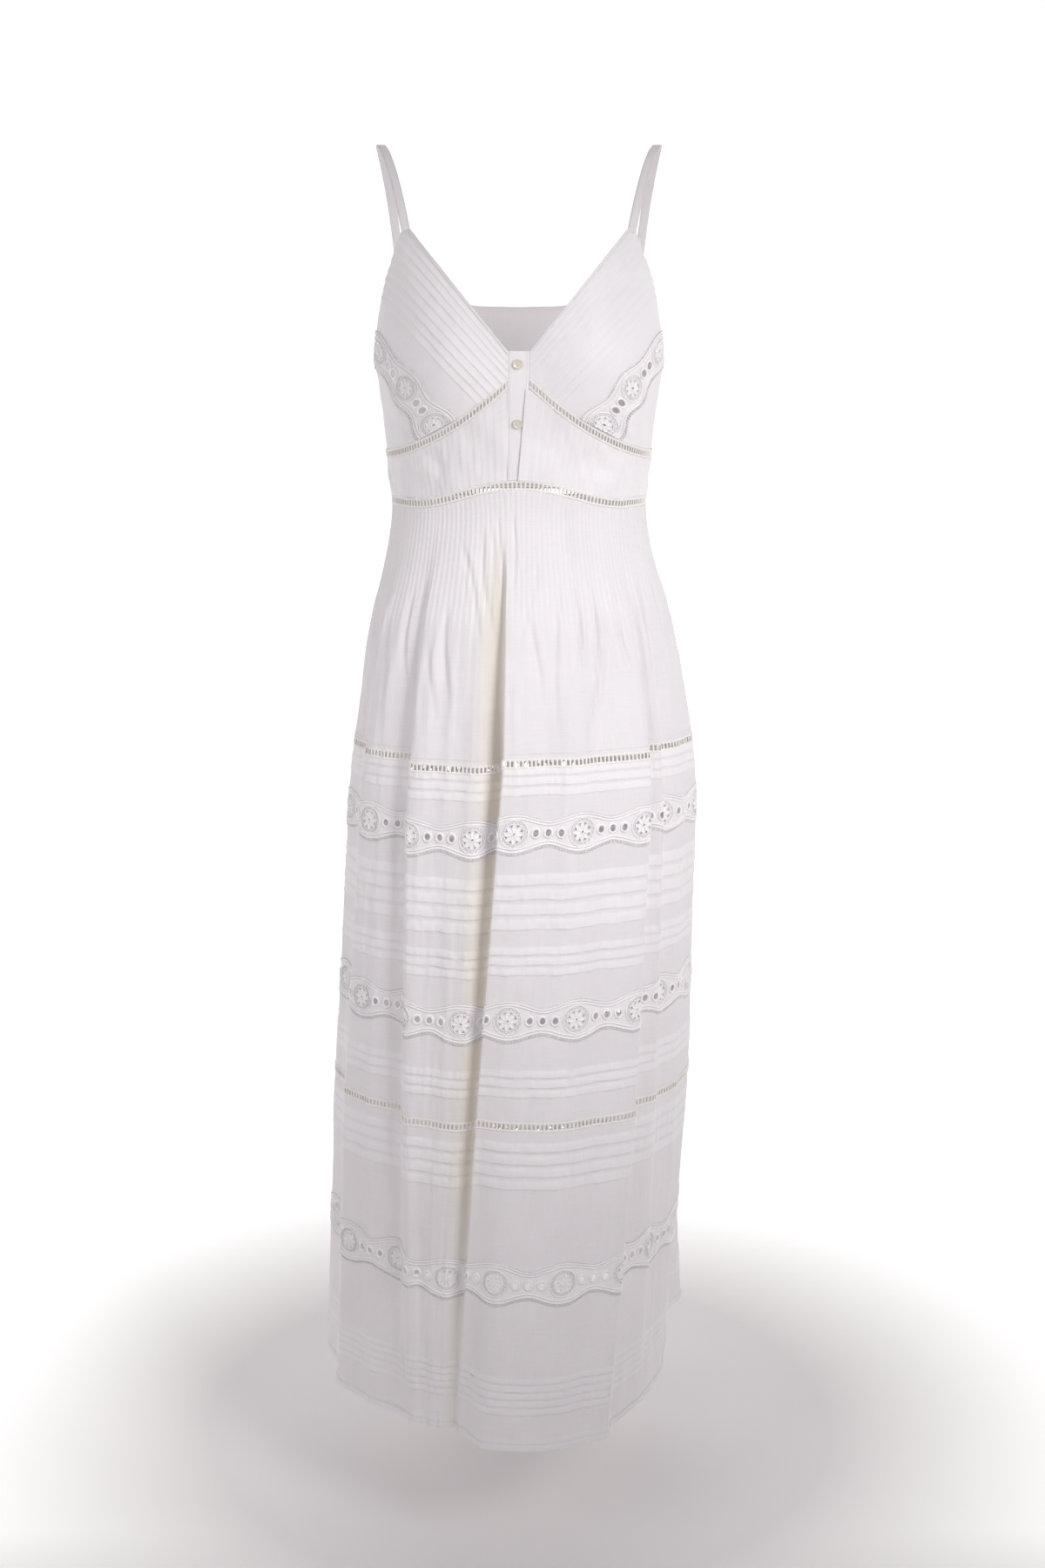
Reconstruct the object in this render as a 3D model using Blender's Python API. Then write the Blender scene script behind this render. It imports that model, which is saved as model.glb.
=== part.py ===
"""A long strap dress of white cotton voile, hollow as it is worn.

Metres, +Z up, the front faces -Y. The origin is midway between the tops of the two straps,
where the shoulders carry the dress. Every piece that is cut and sewn on is a wall of cloth.
"""

import math
from collections import namedtuple

import bmesh
import bpy
from mathutils import Vector

# Cloth walls, the gaps at the seams, and how far tucks and bound edges stand out
CLOTH = 0.0015
LACE_CLOTH = 0.0013
SEAM = 0.0003
CURVED_SEAM = 0.0005
TUCK_RAISE = 0.0010
PINTUCK_RAISE = 0.0008
BINDING_RAISE = 0.0007

# Form of the dress, top to bottom: level, half width, depth to the front and to the back,
# and the power of the section's curve (2 is an ellipse, more is squarer)
Section = namedtuple("Section", "level half_width front back power")
FORM = [
    Section(-0.070, 0.1380, 0.108, 0.100, 2.3),
    Section(-0.130, 0.1445, 0.120, 0.112, 2.3),
    Section(-0.200, 0.1480, 0.126, 0.113, 2.3),
    Section(-0.240, 0.1425, 0.122, 0.108, 2.3),
    Section(-0.285, 0.1368, 0.112, 0.101, 2.2),
    Section(-0.320, 0.1335, 0.106, 0.095, 2.1),
    Section(-0.352, 0.1300, 0.103, 0.092, 2.0),
    Section(-0.390, 0.1345, 0.107, 0.098, 2.0),
    Section(-0.426, 0.1436, 0.114, 0.108, 2.0),
    Section(-0.463, 0.1550, 0.124, 0.122, 2.0),
    Section(-0.500, 0.1640, 0.136, 0.135, 2.0),
    Section(-0.536, 0.1700, 0.147, 0.145, 2.0),
    Section(-0.573, 0.1760, 0.157, 0.152, 2.0),
    Section(-0.610, 0.1810, 0.165, 0.158, 2.0),
    Section(-0.648, 0.1850, 0.171, 0.163, 2.0),
    Section(-0.705, 0.1870, 0.178, 0.168, 2.0),
    Section(-0.846, 0.1930, 0.197, 0.184, 2.0),
    Section(-0.940, 0.1980, 0.206, 0.193, 2.0),
    Section(-1.060, 0.2010, 0.214, 0.202, 2.0),
    Section(-1.143, 0.2025, 0.220, 0.206, 2.0),
    Section(-1.222, 0.2040, 0.226, 0.209, 2.0),
    Section(-1.300, 0.2050, 0.233, 0.211, 2.0),
]

# Sideways sway of the hem, and how late the folds take on their shape at the hem
HEM_SWAY = -0.002
FOLD_BEND = 1.5

# Steps to the two neighbours that give a skin's direction: across, in degrees, and in places
ACROSS_STEP = 0.0005
ANGLE_STEP = 0.3
PLACE_STEP = 0.04
WALK_STEPS = 1200

# Fullness of the cups over the general form
BUST_RAISE = 0.020
BUST_CENTRE = 0.074
BUST_LEVEL = -0.205
BUST_WIDTH = 0.050
BUST_HEIGHT = 0.058

# Fold lines of the skirt, from the left side round the front, the right side and the back.
# Angles in degrees from the front centre, how far each line stands out in millimetres.
FoldLine = namedtuple("FoldLine", "hip_angle hem_angle hip_out hem_out")
FOLD_LINES = [
    FoldLine(-80, -90, -5, 8),
    FoldLine(-66, -76, -9, -4),
    FoldLine(-60, -68, 1, 5),
    FoldLine(-52, -56, -2, -8),
    FoldLine(-41, -43, -14, -22),
    FoldLine(-36, -37, 3, -19),
    FoldLine(-25, -31, -5, -24),
    FoldLine(-16, -27.5, -2, -25),
    FoldLine(-8.5, -24, -28, -34),
    FoldLine(-5, -20, 2, -26),
    FoldLine(9, -8, -4, -1),
    FoldLine(18, 7, 1, 0),
    FoldLine(28, 19, -4, -3),
    FoldLine(45.5, 26.5, 4, -2),
    FoldLine(49, 33, -12, -22),
    FoldLine(53.5, 44, -1, -30),
    FoldLine(58, 52, -13, -33),
    FoldLine(68, 64, -3, -37),
    FoldLine(82, 82, 3, -42),
    FoldLine(96, 98, -3, -38),
    FoldLine(110, 112, 0, -24),
    FoldLine(124, 122, -9, 20),
    FoldLine(137, 130, 1, 38),
    FoldLine(151, 147, -10, 8),
    FoldLine(165, 163, 1, 4),
    FoldLine(178, 176, -9, -15),
    FoldLine(192, 189, 0, 4),
    FoldLine(208, 203, -11, -17),
    FoldLine(222, 217, 1, 6),
    FoldLine(238, 230, -9, -15),
    FoldLine(252, 242, 0, 7),
    FoldLine(266, 256, -11, -12),
]
FOLD_GAP = 14.6
FOLDS_START = -0.36
HIP_LEVEL = -0.597
HEM_LEVEL = -1.293

# Seams of the bodice
PLACKET_TOP = -0.197
PLACKET_HALF = 0.0100
PLACKET_WAIST_RIGHT = -0.0010
UNDERBUST_CENTRE = -0.2225
UNDERBUST_SLOPE = -0.93
UNDERBUST_CURVE = 2.70
LADDER = 0.009
WAIST_LEVEL = -0.347
WAIST_ARCH = 0.021
WAIST_ARCH_HALF = 0.105
WAIST_COLUMNS = 64
SETTLE_ROUNDS = 4
SIDE_SEAM = 90.3

# Outline of one cup and its lace, as distance from the centre and level
STRAP_WIDTH = 0.0092
CUP_TOP = -0.083
CUP_TOP_INNER = 0.104
CUP_TOP_OUTER = 0.1132
CUP_ARMHOLE = (0.131, -0.129)
LACE_UPPER_OUT = (0.1405, -0.178)
LACE_UPPER_IN = 0.060
LACE_LOWER_OUT = (0.1435, -0.207)
LACE_LOWER_IN = 0.097
CUP_TUCKS = 8
CUP_BINDING = 0.04
CUP_TUCK_STEP = 0.008
CUP_TUCKS_END = 0.72
CUP_SEAM_STEPS = 5
CUP_COLUMNS = [0.0, 0.1, 0.25, 0.4, 0.55, 0.7, 0.85, 1.0]
CUP_LACE_CELLS = [(0.0, "plain"), (0.12, "plain"), (0.24, "ring"), (0.34, "ring"), (0.44, "plain"),
                  (0.54, "plain"), (0.64, "ring"), (0.74, "ring"), (0.84, "plain"), (1.0, "plain")]
CUP_RING_WIDTH = 0.6
CUP_RING_HEIGHT = 0.30
MIDRIFF_TUCKS = 11
LADDER_COLUMNS = 12
PLACKET_ROWS = 8

# Top edge of the back: angle from the front centre and level
BACK_TOP = [
    (90.6, -0.213),
    (91.1, -0.213),
    (97.0, -0.209),
    (104.0, -0.193),
    (113.0, -0.158),
    (122.5, -0.128),
    (127.2, -0.128),
    (138.0, -0.138),
    (152.0, -0.149),
    (166.0, -0.154),
    (180.0, -0.155),
]
BACK_ROWS = (0.0, 0.2, 0.4, 0.7, 1.0)
SIDE_PANEL_START = 0.0995
SIDE_PANEL_STEPS = 4
SIDE_END = 91.0

# Straps: route over one shoulder, as distance from the centre, depth and level
STRAP_ROUTE = [
    (0.1150, -0.0630, -0.0580),
    (0.1230, -0.0410, -0.0290),
    (0.1310, -0.0210, -0.0080),
    (0.1375, 0.0000, 0.0008),
    (0.1370, 0.0230, -0.0080),
    (0.1330, 0.0430, -0.0330),
    (0.1280, 0.0580, -0.0700),
]
STRAP_STEPS = 2
STRAP_BACK_ANGLE = 124.85
STRAP_BACK_LEVEL = -0.128

# Skirt: pintucks under the waist, then rings of cloth, ladder and lace down to the hem.
# A tuck group is the level of its first edge, its count and its pitch.
PINTUCKS = 84
PINTUCK_MIDDLE = -0.380
PINTUCK_END = -0.445
PINTUCK_SHARE = 0.7
PINTUCK_FADE = 0.8
YOKE_LEVELS = (-0.490, -0.540)
Ring = namedtuple("Ring", "name top bottom tuck_groups")
CLOTH_RINGS = [
    Ring("hip_ladder", -0.588, -0.597, ()),
    Ring("tier_1", -0.597, -0.6435, ((-0.603, 3, 0.0100),)),
    Ring("tier_2", -0.6775, -0.828, ((-0.711, 4, 0.0147), (-0.780, 3, 0.0100))),
    Ring("tier_3", -0.864, -0.949, ((-0.903, 3, 0.0100),)),
    Ring("lower_ladder", -0.949, -0.958, ()),
    Ring("tier_4", -0.958, -1.098, ((-0.979, 4, 0.0130),)),
    Ring("tier_5", -1.137, HEM_LEVEL, ((-1.222, 5, 0.0082),)),
]
TUCK_STEP = 0.0008

# Lace: a medallion and three rings repeat round each band
LaceBand = namedtuple("LaceBand", "name top bottom shift")
LACE_BANDS = [
    LaceBand("lace_1", -0.6435, -0.6775, 0.000),
    LaceBand("lace_2", -0.828, -0.864, 0.008),
    LaceBand("lace_3", -1.098, -1.137, 0.018),
]
LACE_REPEAT = 0.070
MEDALLION_WIDTH = 0.031
LACE_RINGS = 3
RING_SIDES = 4
RING_HALF_WIDTH = 0.0041
RING_HALF_HEIGHT = 0.0056

# Buttons: level on the placket, radius, height and the profile of the dished face
BUTTON_LEVELS = {"button_upper": -0.209, "button_lower": -0.2655}
BUTTON_X = -0.001
BUTTON_RADIUS = 0.0048
BUTTON_HEIGHT = 0.0020
BUTTON_RIM = 0.0009
BUTTON_DISH = 0.0006
BUTTON_FOOT = 0.0008
BUTTON_BEVEL = 0.0006
BUTTON_SIDES = 14
BUTTON_SLOPE_STEP = 0.01
SHARP_ANGLE = math.radians(35)

WHITE = (0.86, 0.86, 0.87)
LACE_WHITE = (0.84, 0.83, 0.80)
LADDER_IVORY = (0.80, 0.77, 0.70)
BUTTON_IVORY = (0.78, 0.75, 0.68)


def mix(first, last, share):
    return first + (last - first) * share


def clamp(value):
    return min(max(value, 0.0), 1.0)


def ease(share):
    return share * share * (3 - 2 * share)


def section(level):
    """The form's section at a level, between the rows of the table."""
    below = next((i for i, row in enumerate(FORM) if row.level <= level), len(FORM) - 1)
    above = max(below - 1, 0)
    if above == below:
        return FORM[below]
    span = FORM[above].level - FORM[below].level
    share = clamp((FORM[above].level - level) / span)
    return Section(*(mix(a, b, share) for a, b in zip(FORM[above], FORM[below])))


def bust(x, level):
    """How far the cups stand out of the form, which is flat under the placket."""
    across = math.exp(-((max(abs(x), PLACKET_HALF) - BUST_CENTRE) / BUST_WIDTH) ** 2)
    upward = math.exp(-((level - BUST_LEVEL) / BUST_HEIGHT) ** 2)
    return BUST_RAISE * across * upward


def front_point(x, level):
    """A point of the bodice front, from its place across and its level."""
    form = section(level)
    share = min(abs(x) / form.half_width, 1.0)
    depth = form.front * (1 - share ** form.power) ** (1 / form.power)
    return Vector((x, -depth - bust(x, level), level))


def ring_point(angle, level, out=0.0):
    """A point of the form, from its angle round the front centre and its level."""
    form = section(level)
    sine = math.sin(math.radians(angle))
    cosine = math.cos(math.radians(angle))
    depth = form.front if cosine > 0 else form.back
    x = form.half_width * math.copysign(abs(sine) ** (2 / form.power), sine)
    y = -depth * math.copysign(abs(cosine) ** (2 / form.power), cosine)
    if cosine > 0:
        y -= bust(x, level) * ease(clamp(cosine * 4))
    outward = Vector((sine / form.half_width, -cosine / depth, 0)).normalized()
    sway = HEM_SWAY * clamp((HIP_LEVEL - level) / (HIP_LEVEL - HEM_LEVEL))
    return Vector((x + sway, y, level)) + outward * out


def level_normal(before, after):
    """The level direction that faces out, from two neighbours in order round the dress."""
    along = after - before
    return Vector((along.y, -along.x, 0)).normalized()


def front_skin(x, level):
    before, after = front_point(x - ACROSS_STEP, level), front_point(x + ACROSS_STEP, level)
    return front_point(x, level), level_normal(before, after)


def ring_skin(angle, level):
    before, after = ring_point(angle - ANGLE_STEP, level), ring_point(angle + ANGLE_STEP, level)
    return ring_point(angle, level), level_normal(before, after)


def angle_at(x, level):
    """The angle round the front centre at which the form is this far across."""
    form = section(level)
    share = min(abs(x) / form.half_width, 1.0) ** (form.power / 2)
    return math.copysign(math.degrees(math.asin(share)), x)


def fold_line(index):
    """A fold line by its number, which runs on past a whole turn."""
    turns, row = divmod(index, len(FOLD_LINES))
    line = FOLD_LINES[row]
    return line._replace(hip_angle=line.hip_angle + 360 * turns, hem_angle=line.hem_angle + 360 * turns)


def skirt_point(place, level):
    """A point of the skirt: place counts fold lines round it, and parts of the way between two."""
    index = math.floor(place)
    first, last = fold_line(index), fold_line(index + 1)
    share = place - index
    down = clamp((HIP_LEVEL - level) / (HIP_LEVEL - HEM_LEVEL))
    fullness = ease(clamp((FOLDS_START - level) / (FOLDS_START - HIP_LEVEL)))
    hip_angle = mix(first.hip_angle, last.hip_angle, share)
    hem_angle = mix(first.hem_angle, last.hem_angle, share)
    out_first = mix(first.hip_out, first.hem_out, down ** FOLD_BEND)
    out_last = mix(last.hip_out, last.hem_out, down ** FOLD_BEND)
    out = mix(out_first, out_last, ease(share)) * fullness / 1000
    return ring_point(mix(hip_angle, hem_angle, down), level, out)


def skirt_skin(place, level):
    before, after = skirt_point(place - PLACE_STEP, level), skirt_point(place + PLACE_STEP, level)
    return skirt_point(place, level), level_normal(before, after)


def fold_places():
    """Places of the mesh columns: each fold line, and more where two lie far apart."""
    places = []
    for index in range(len(FOLD_LINES)):
        gap = fold_line(index + 1).hip_angle - fold_line(index).hip_angle
        parts = math.ceil(gap / FOLD_GAP)
        places += [index + part / parts for part in range(parts)]
    return places


def place_at_angle(angle):
    """The place on the skirt's top at an angle round the front centre."""
    turn = angle if angle >= FOLD_LINES[0].hip_angle else angle + 360
    for index in range(len(FOLD_LINES)):
        first, last = fold_line(index).hip_angle, fold_line(index + 1).hip_angle
        if first <= turn <= last:
            return index + (turn - first) / (last - first)
    raise ValueError("no fold line at this angle")


def underbust(x):
    """Level of the upper edge of the ladder below the cups."""
    across = max(abs(x) - PLACKET_HALF, 0.0)
    return UNDERBUST_CENTRE + UNDERBUST_SLOPE * across + UNDERBUST_CURVE * across ** 2


def waist(x, front=True):
    """Level of the middle of the waist ladder, which arches up at the front."""
    arch = clamp(1 - (x / WAIST_ARCH_HALF) ** 2) ** 2 if front else 0.0
    return WAIST_LEVEL + WAIST_ARCH * arch


def settled_level(curve, spot_at, level):
    """The level where a seam curve, given by distance from the centre, meets a column of the form."""
    for _ in range(SETTLE_ROUNDS):
        spot = spot_at(level)
        level = curve(spot.x, spot.y < 0)
    return level


def waist_row(places, drop, moves):
    """A row of the skirt that follows the waist ladder, dropped from its middle."""
    row = []
    for place, move in zip(places, moves):
        level = settled_level(waist, lambda at, place=place: skirt_point(place, at), WAIST_LEVEL)
        point, normal = skirt_skin(place, level - drop)
        row.append((place / len(FOLD_LINES), point + normal * move))
    return row


def placket_edge(side, level):
    """The placket's edge: the right one slants in under the right front towards the waist."""
    if side < 0:
        return -PLACKET_HALF
    share = clamp((UNDERBUST_CENTRE - level) / (UNDERBUST_CENTRE - WAIST_LEVEL))
    return mix(PLACKET_HALF, PLACKET_WAIST_RIGHT, share)


def smooth_route(points, steps):
    """Points on a smooth curve through the given ones."""
    ends = [points[0] * 2 - points[1]] + points + [points[-1] * 2 - points[-2]]
    route = []
    for a, b, c, d in zip(ends, ends[1:], ends[2:], ends[3:]):
        for step in range(steps):
            t = step / steps
            route.append(0.5 * (2 * b + (c - a) * t + (2 * a - 5 * b + 4 * c - d) * t ** 2
                                + (3 * b - a - 3 * c + d) * t ** 3))
    return route + [points[-1]]


def make_material(name, color, roughness):
    material = bpy.data.materials.new(name)
    material.use_nodes = True
    shader = material.node_tree.nodes["Principled BSDF"]
    shader.inputs["Base Color"].default_value = (*color, 1)
    shader.inputs["Roughness"].default_value = roughness
    shader.inputs["Metallic"].default_value = 0.0
    material.diffuse_color = (*color, 1)
    return material


def finish_object(name, mesh_builder, color, roughness=0.9):
    """Turn a finished bmesh into a named object with faces out and its own material."""
    bmesh.ops.recalc_face_normals(mesh_builder, faces=mesh_builder.faces)
    mesh = bpy.data.meshes.new(name)
    mesh_builder.to_mesh(mesh)
    mesh_builder.free()
    mesh.materials.append(make_material(name, color, roughness))
    mesh.shade_smooth()
    mesh.set_sharp_from_angle(angle=SHARP_ANGLE)
    part = bpy.data.objects.new(name, mesh)
    bpy.context.scene.collection.objects.link(part)
    return part


def join_rows(builder, first, last, closed=False):
    """Faces between two rows of (share, vertex), in the order of their shares."""
    if closed:
        first = first + [(first[0][0] + 1, first[0][1])]
        last = last + [(last[0][0] + 1, last[0][1])]
    i = j = 0
    while i < len(first) - 1 or j < len(last) - 1:
        next_first = first[i + 1][0] if i < len(first) - 1 else math.inf
        next_last = last[j + 1][0] if j < len(last) - 1 else math.inf
        corners = [first[i][1], last[j][1]]
        if next_first <= next_last + 1e-9:
            i += 1
            corners.insert(0, first[i][1])
        if next_last <= next_first + 1e-9:
            j += 1
            corners.append(last[j][1])
        builder.faces.new(corners)


def wall(name, outer, inner, color, closed=False):
    """A closed wall of cloth. A row is (share down, [(share along, point), ...])."""
    builder = bmesh.new()
    sides = []
    for rows in (outer, inner):
        side = []
        for down, row in rows:
            side.append((down, [(along, builder.verts.new(point)) for along, point in row]))
        sides.append(side)
    for rows in sides:
        for (_, upper), (_, lower) in zip(rows, rows[1:]):
            join_rows(builder, upper, lower, closed)
    for end in (0, -1):
        join_rows(builder, sides[0][end][1], sides[1][end][1], closed)
        if not closed:
            edges = [[(down, row[end][1]) for down, row in rows] for rows in sides]
            join_rows(builder, *edges)
    return finish_object(name, builder, color)


def ring_row(places, level, move=0.0):
    """A level row of the skirt, with the place round the skirt as the share along."""
    row = []
    for place in places:
        point, normal = skirt_skin(place, level)
        row.append((place / len(FOLD_LINES), point + normal * move))
    return row


def cloth_ring(ring, places):
    """A level ring of the skirt. Each tuck is a step out that ends in its lower edge."""
    top = ring.top - SEAM / 2
    bottom = ring.bottom + SEAM / 2
    levels = [(top, 0.0)]
    for first_edge, count, pitch in ring.tuck_groups:
        if levels[-1][0] - first_edge > 2 * pitch:
            levels.append((first_edge + pitch, 0.0))
        for number in range(count):
            edge = first_edge - number * pitch
            levels += [(edge, TUCK_RAISE), (edge - TUCK_STEP, 0.0)]
    levels.append((bottom, 0.0))
    outer = [((top - level) / (top - bottom), ring_row(places, level, move)) for level, move in levels]
    inner = [(0.0, ring_row(places, top, -CLOTH)), (1.0, ring_row(places, bottom, -CLOTH))]
    color = LADDER_IVORY if "ladder" in ring.name else WHITE
    return wall(ring.name, outer, inner, color, closed=True)


def equal_places(level, start, length, stops):
    """Places at given distances along the skirt from a start, at one level."""
    turn = len(FOLD_LINES)
    walked = 0.0
    place = start
    before = skirt_point(place, level)
    found = []
    for stop in stops:
        while walked < stop * length and place < start + turn:
            place += turn / WALK_STEPS
            point = skirt_point(place, level)
            walked += (point - before).length
            before = point
        found.append(place)
    return found


def round_length(level):
    """Length of the cloth once round the skirt at a level."""
    turn = len(FOLD_LINES)
    points = [skirt_point(turn * number / WALK_STEPS, level) for number in range(WALK_STEPS + 1)]
    return sum((b - a).length for a, b in zip(points, points[1:]))


def skirt_yoke(places):
    """The skirt's upper part: pintucked below the waist, let out into folds at the hip."""
    top_edge = LADDER / 2 + CURVED_SEAM
    length = round_length(PINTUCK_END)
    stops = [(number + share) / PINTUCKS for number in range(PINTUCKS) for share in (0.0, PINTUCK_SHARE)]
    tuck_places = equal_places(PINTUCK_END, 0.0, length, stops)
    raises = [0.0, PINTUCK_RAISE] * PINTUCKS

    def tucked_row(level, height):
        row = []
        for place, move in zip(tuck_places, raises):
            point, normal = skirt_skin(place, level)
            row.append((place / len(FOLD_LINES), point + normal * move * height))
        return row

    loose = [*YOKE_LEVELS, CLOTH_RINGS[0].top + SEAM / 2]
    outside = [waist_row(tuck_places, top_edge, raises)]
    outside += [tucked_row(PINTUCK_MIDDLE, 1.0), tucked_row(PINTUCK_END, PINTUCK_FADE)]
    outside += [ring_row(places, level) for level in loose]
    inside = [waist_row(tuck_places[::2], top_edge, [-CLOTH] * PINTUCKS)]
    inside += [ring_row(places, level, -CLOTH) for level in (PINTUCK_MIDDLE, PINTUCK_END, *loose)]
    shares = [number / (len(outside) - 1) for number in range(len(outside))]
    return wall("skirt_yoke", list(zip(shares, outside)), list(zip(shares, inside)), WHITE, closed=True)


def waist_ladder():
    """The openwork strip round the waist."""
    stops = [number / WAIST_COLUMNS for number in range(WAIST_COLUMNS)]
    places = equal_places(WAIST_LEVEL, 0.0, round_length(WAIST_LEVEL), stops)
    edges = ((0.0, -LADDER / 2), (1.0, LADDER / 2))
    outer = [(share, waist_row(places, drop, [0.0] * WAIST_COLUMNS)) for share, drop in edges]
    inner = [(share, waist_row(places, drop, [-CLOTH] * WAIST_COLUMNS)) for share, drop in edges]
    return wall("waist_ladder", outer, inner, LADDER_IVORY, closed=True)


def lace_wall(name, columns, skin, ring_width, ring_height):
    """A strip of lace with its rings cut through.

    Columns are (place, cell), where a cell is ring or plain. The skin takes a place along the
    strip and a share down across it.
    """
    builder = bmesh.new()

    def pair(place, share):
        point, normal = skin(place, share)
        return builder.verts.new(point), builder.verts.new(point - normal * LACE_CLOTH)

    tops = [pair(place, 0.0) for place, _ in columns]
    bottoms = [pair(place, 1.0) for place, _ in columns]
    for number, (place, cell) in enumerate(columns[:-1]):
        after = columns[number + 1][0]
        corners = (tops[number], tops[number + 1], bottoms[number + 1], bottoms[number])
        for edge in (tops, bottoms):
            builder.faces.new([edge[number][0], edge[number + 1][0], edge[number + 1][1], edge[number][1]])
        if cell == "plain":
            for side in (0, 1):
                builder.faces.new([corner[side] for corner in corners])
            continue
        loops = ([], [])
        for step in range(RING_SIDES):
            turn = math.radians(90 - step * 360 / RING_SIDES)
            across = 0.5 + ring_width / 2 * math.cos(turn)
            hole = pair(mix(place, after, across), 0.5 - ring_height / 2 * math.sin(turn))
            for side in (0, 1):
                loops[side].append(((step + 0.5) / RING_SIDES, hole[side]))
        for side in (0, 1):
            frame = [(step / len(corners), corner[side]) for step, corner in enumerate(corners)]
            join_rows(builder, frame, loops[side], closed=True)
        join_rows(builder, *loops, closed=True)
    for end in (0, -1):
        builder.faces.new([tops[end][0], tops[end][1], bottoms[end][1], bottoms[end][0]])
    return finish_object(name, builder, LACE_WHITE)


def lace_band(band):
    """One band of skirt lace, in a front and a back half."""
    top = band.top - SEAM / 2
    bottom = band.bottom + SEAM / 2
    middle = (top + bottom) / 2
    length = round_length(middle)
    repeats = round(length / LACE_REPEAT)
    repeat = length / repeats
    ring_cell = (repeat - MEDALLION_WIDTH) / LACE_RINGS
    cells = [(-MEDALLION_WIDTH / 2, "plain"), (0.0, "plain")]
    cells += [(MEDALLION_WIDTH / 2 + number * ring_cell, "ring") for number in range(LACE_RINGS)]

    start = place_at_angle(0) - len(FOLD_LINES)
    stops = []
    for number in range(2 * repeats):
        stops += [(band.shift + number * repeat + place, kind) for place, kind in cells]
    stops = [(stop, kind) for stop, kind in stops if 0 <= stop < length]
    found = equal_places(middle, start, 1.0, [stop for stop, _ in stops])
    columns = [(place, kind) for place, (_, kind) in zip(found, stops)]

    def skin(place, share):
        return skirt_skin(place, mix(top, bottom, share))

    right = place_at_angle(90) - len(FOLD_LINES)
    left = place_at_angle(270) - len(FOLD_LINES)
    gap = CURVED_SEAM * len(FOLD_LINES) / length
    back = [column for column in columns if right < column[0] < left]
    front = [column for column in columns if column[0] > left]
    front += [(place + len(FOLD_LINES), kind) for place, kind in columns if place < right]
    halves = (("front", front, left, right + len(FOLD_LINES)), ("back", back, right, left))
    ring_width = 2 * RING_HALF_WIDTH / ring_cell
    ring_height = 2 * RING_HALF_HEIGHT / (top - bottom)
    for half, inside, first, last in halves:
        ended = [(first + gap, "plain")] + inside + [(last - gap, "plain")]
        ended[-2] = (ended[-2][0], "plain")
        lace_wall(f"{band.name}_{half}", ended, skin, ring_width, ring_height)


def along_path(points, share):
    """A point at a share of the length of a path of straight runs."""
    lengths = [math.dist(a, b) for a, b in zip(points, points[1:])]
    left = share * sum(lengths)
    for (a, b), length in zip(zip(points, points[1:]), lengths):
        if left <= length + 1e-12:
            return tuple(mix(p, q, left / length) for p, q in zip(a, b))
        left -= length
    return points[-1]


def cup(name, side):
    """A cup panel: rows run beside the neckline, with a bound edge and diagonal pintucks."""
    lace_in = (LACE_UPPER_IN, underbust(LACE_UPPER_IN) + CURVED_SEAM + SEAM)
    lace_out = (LACE_UPPER_OUT[0], LACE_UPPER_OUT[1] + SEAM)
    outer_path = [(CUP_TOP_INNER, CUP_TOP), (CUP_TOP_OUTER, CUP_TOP), CUP_ARMHOLE, lace_out]
    centre = PLACKET_HALF + CURVED_SEAM
    seam = [mix(centre, LACE_UPPER_IN, step / CUP_SEAM_STEPS) for step in range(CUP_SEAM_STEPS)]
    inner_path = [(centre, PLACKET_TOP)] + [(x, underbust(x) + CURVED_SEAM) for x in seam] + [lace_in]

    shares = [(0.0, BINDING_RAISE), (CUP_BINDING, BINDING_RAISE), (CUP_BINDING + CUP_TUCK_STEP, 0.0)]
    for tuck in range(CUP_TUCKS):
        edge = mix(CUP_BINDING, CUP_TUCKS_END, (tuck + 1) / CUP_TUCKS)
        shares += [(edge, PINTUCK_RAISE), (edge + CUP_TUCK_STEP, 0.0)]
    shares.append((1.0, 0.0))

    def row(share, move):
        start, end = along_path(outer_path, share), along_path(inner_path, share)
        points = []
        for along in CUP_COLUMNS:
            point, normal = front_skin(side * mix(start[0], end[0], along), mix(start[1], end[1], along))
            points.append((along, point + normal * move))
        return points

    outer = [(share, row(share, move)) for share, move in shares]
    inner = [(share, row(share, -CLOTH)) for share, _ in shares[::4] + shares[-1:]]
    return wall(name, outer, inner, WHITE)


def cup_lace(name, side):
    """The lace on the cup's outer side, from the armhole down to the ladder."""
    upper = (LACE_UPPER_OUT, (LACE_UPPER_IN, underbust(LACE_UPPER_IN) + CURVED_SEAM))
    upper = tuple((x, level - SEAM) for x, level in upper)
    lower = (LACE_LOWER_OUT, (LACE_LOWER_IN, underbust(LACE_LOWER_IN) + CURVED_SEAM + SEAM))

    def skin(along, share):
        start = [mix(a, b, share) for a, b in zip(upper[0], lower[0])]
        end = [mix(a, b, share) for a, b in zip(upper[1], lower[1])]
        return front_skin(side * mix(start[0], end[0], along), mix(start[1], end[1], along))

    return lace_wall(name, CUP_LACE_CELLS, skin, CUP_RING_WIDTH, CUP_RING_HEIGHT)


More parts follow.
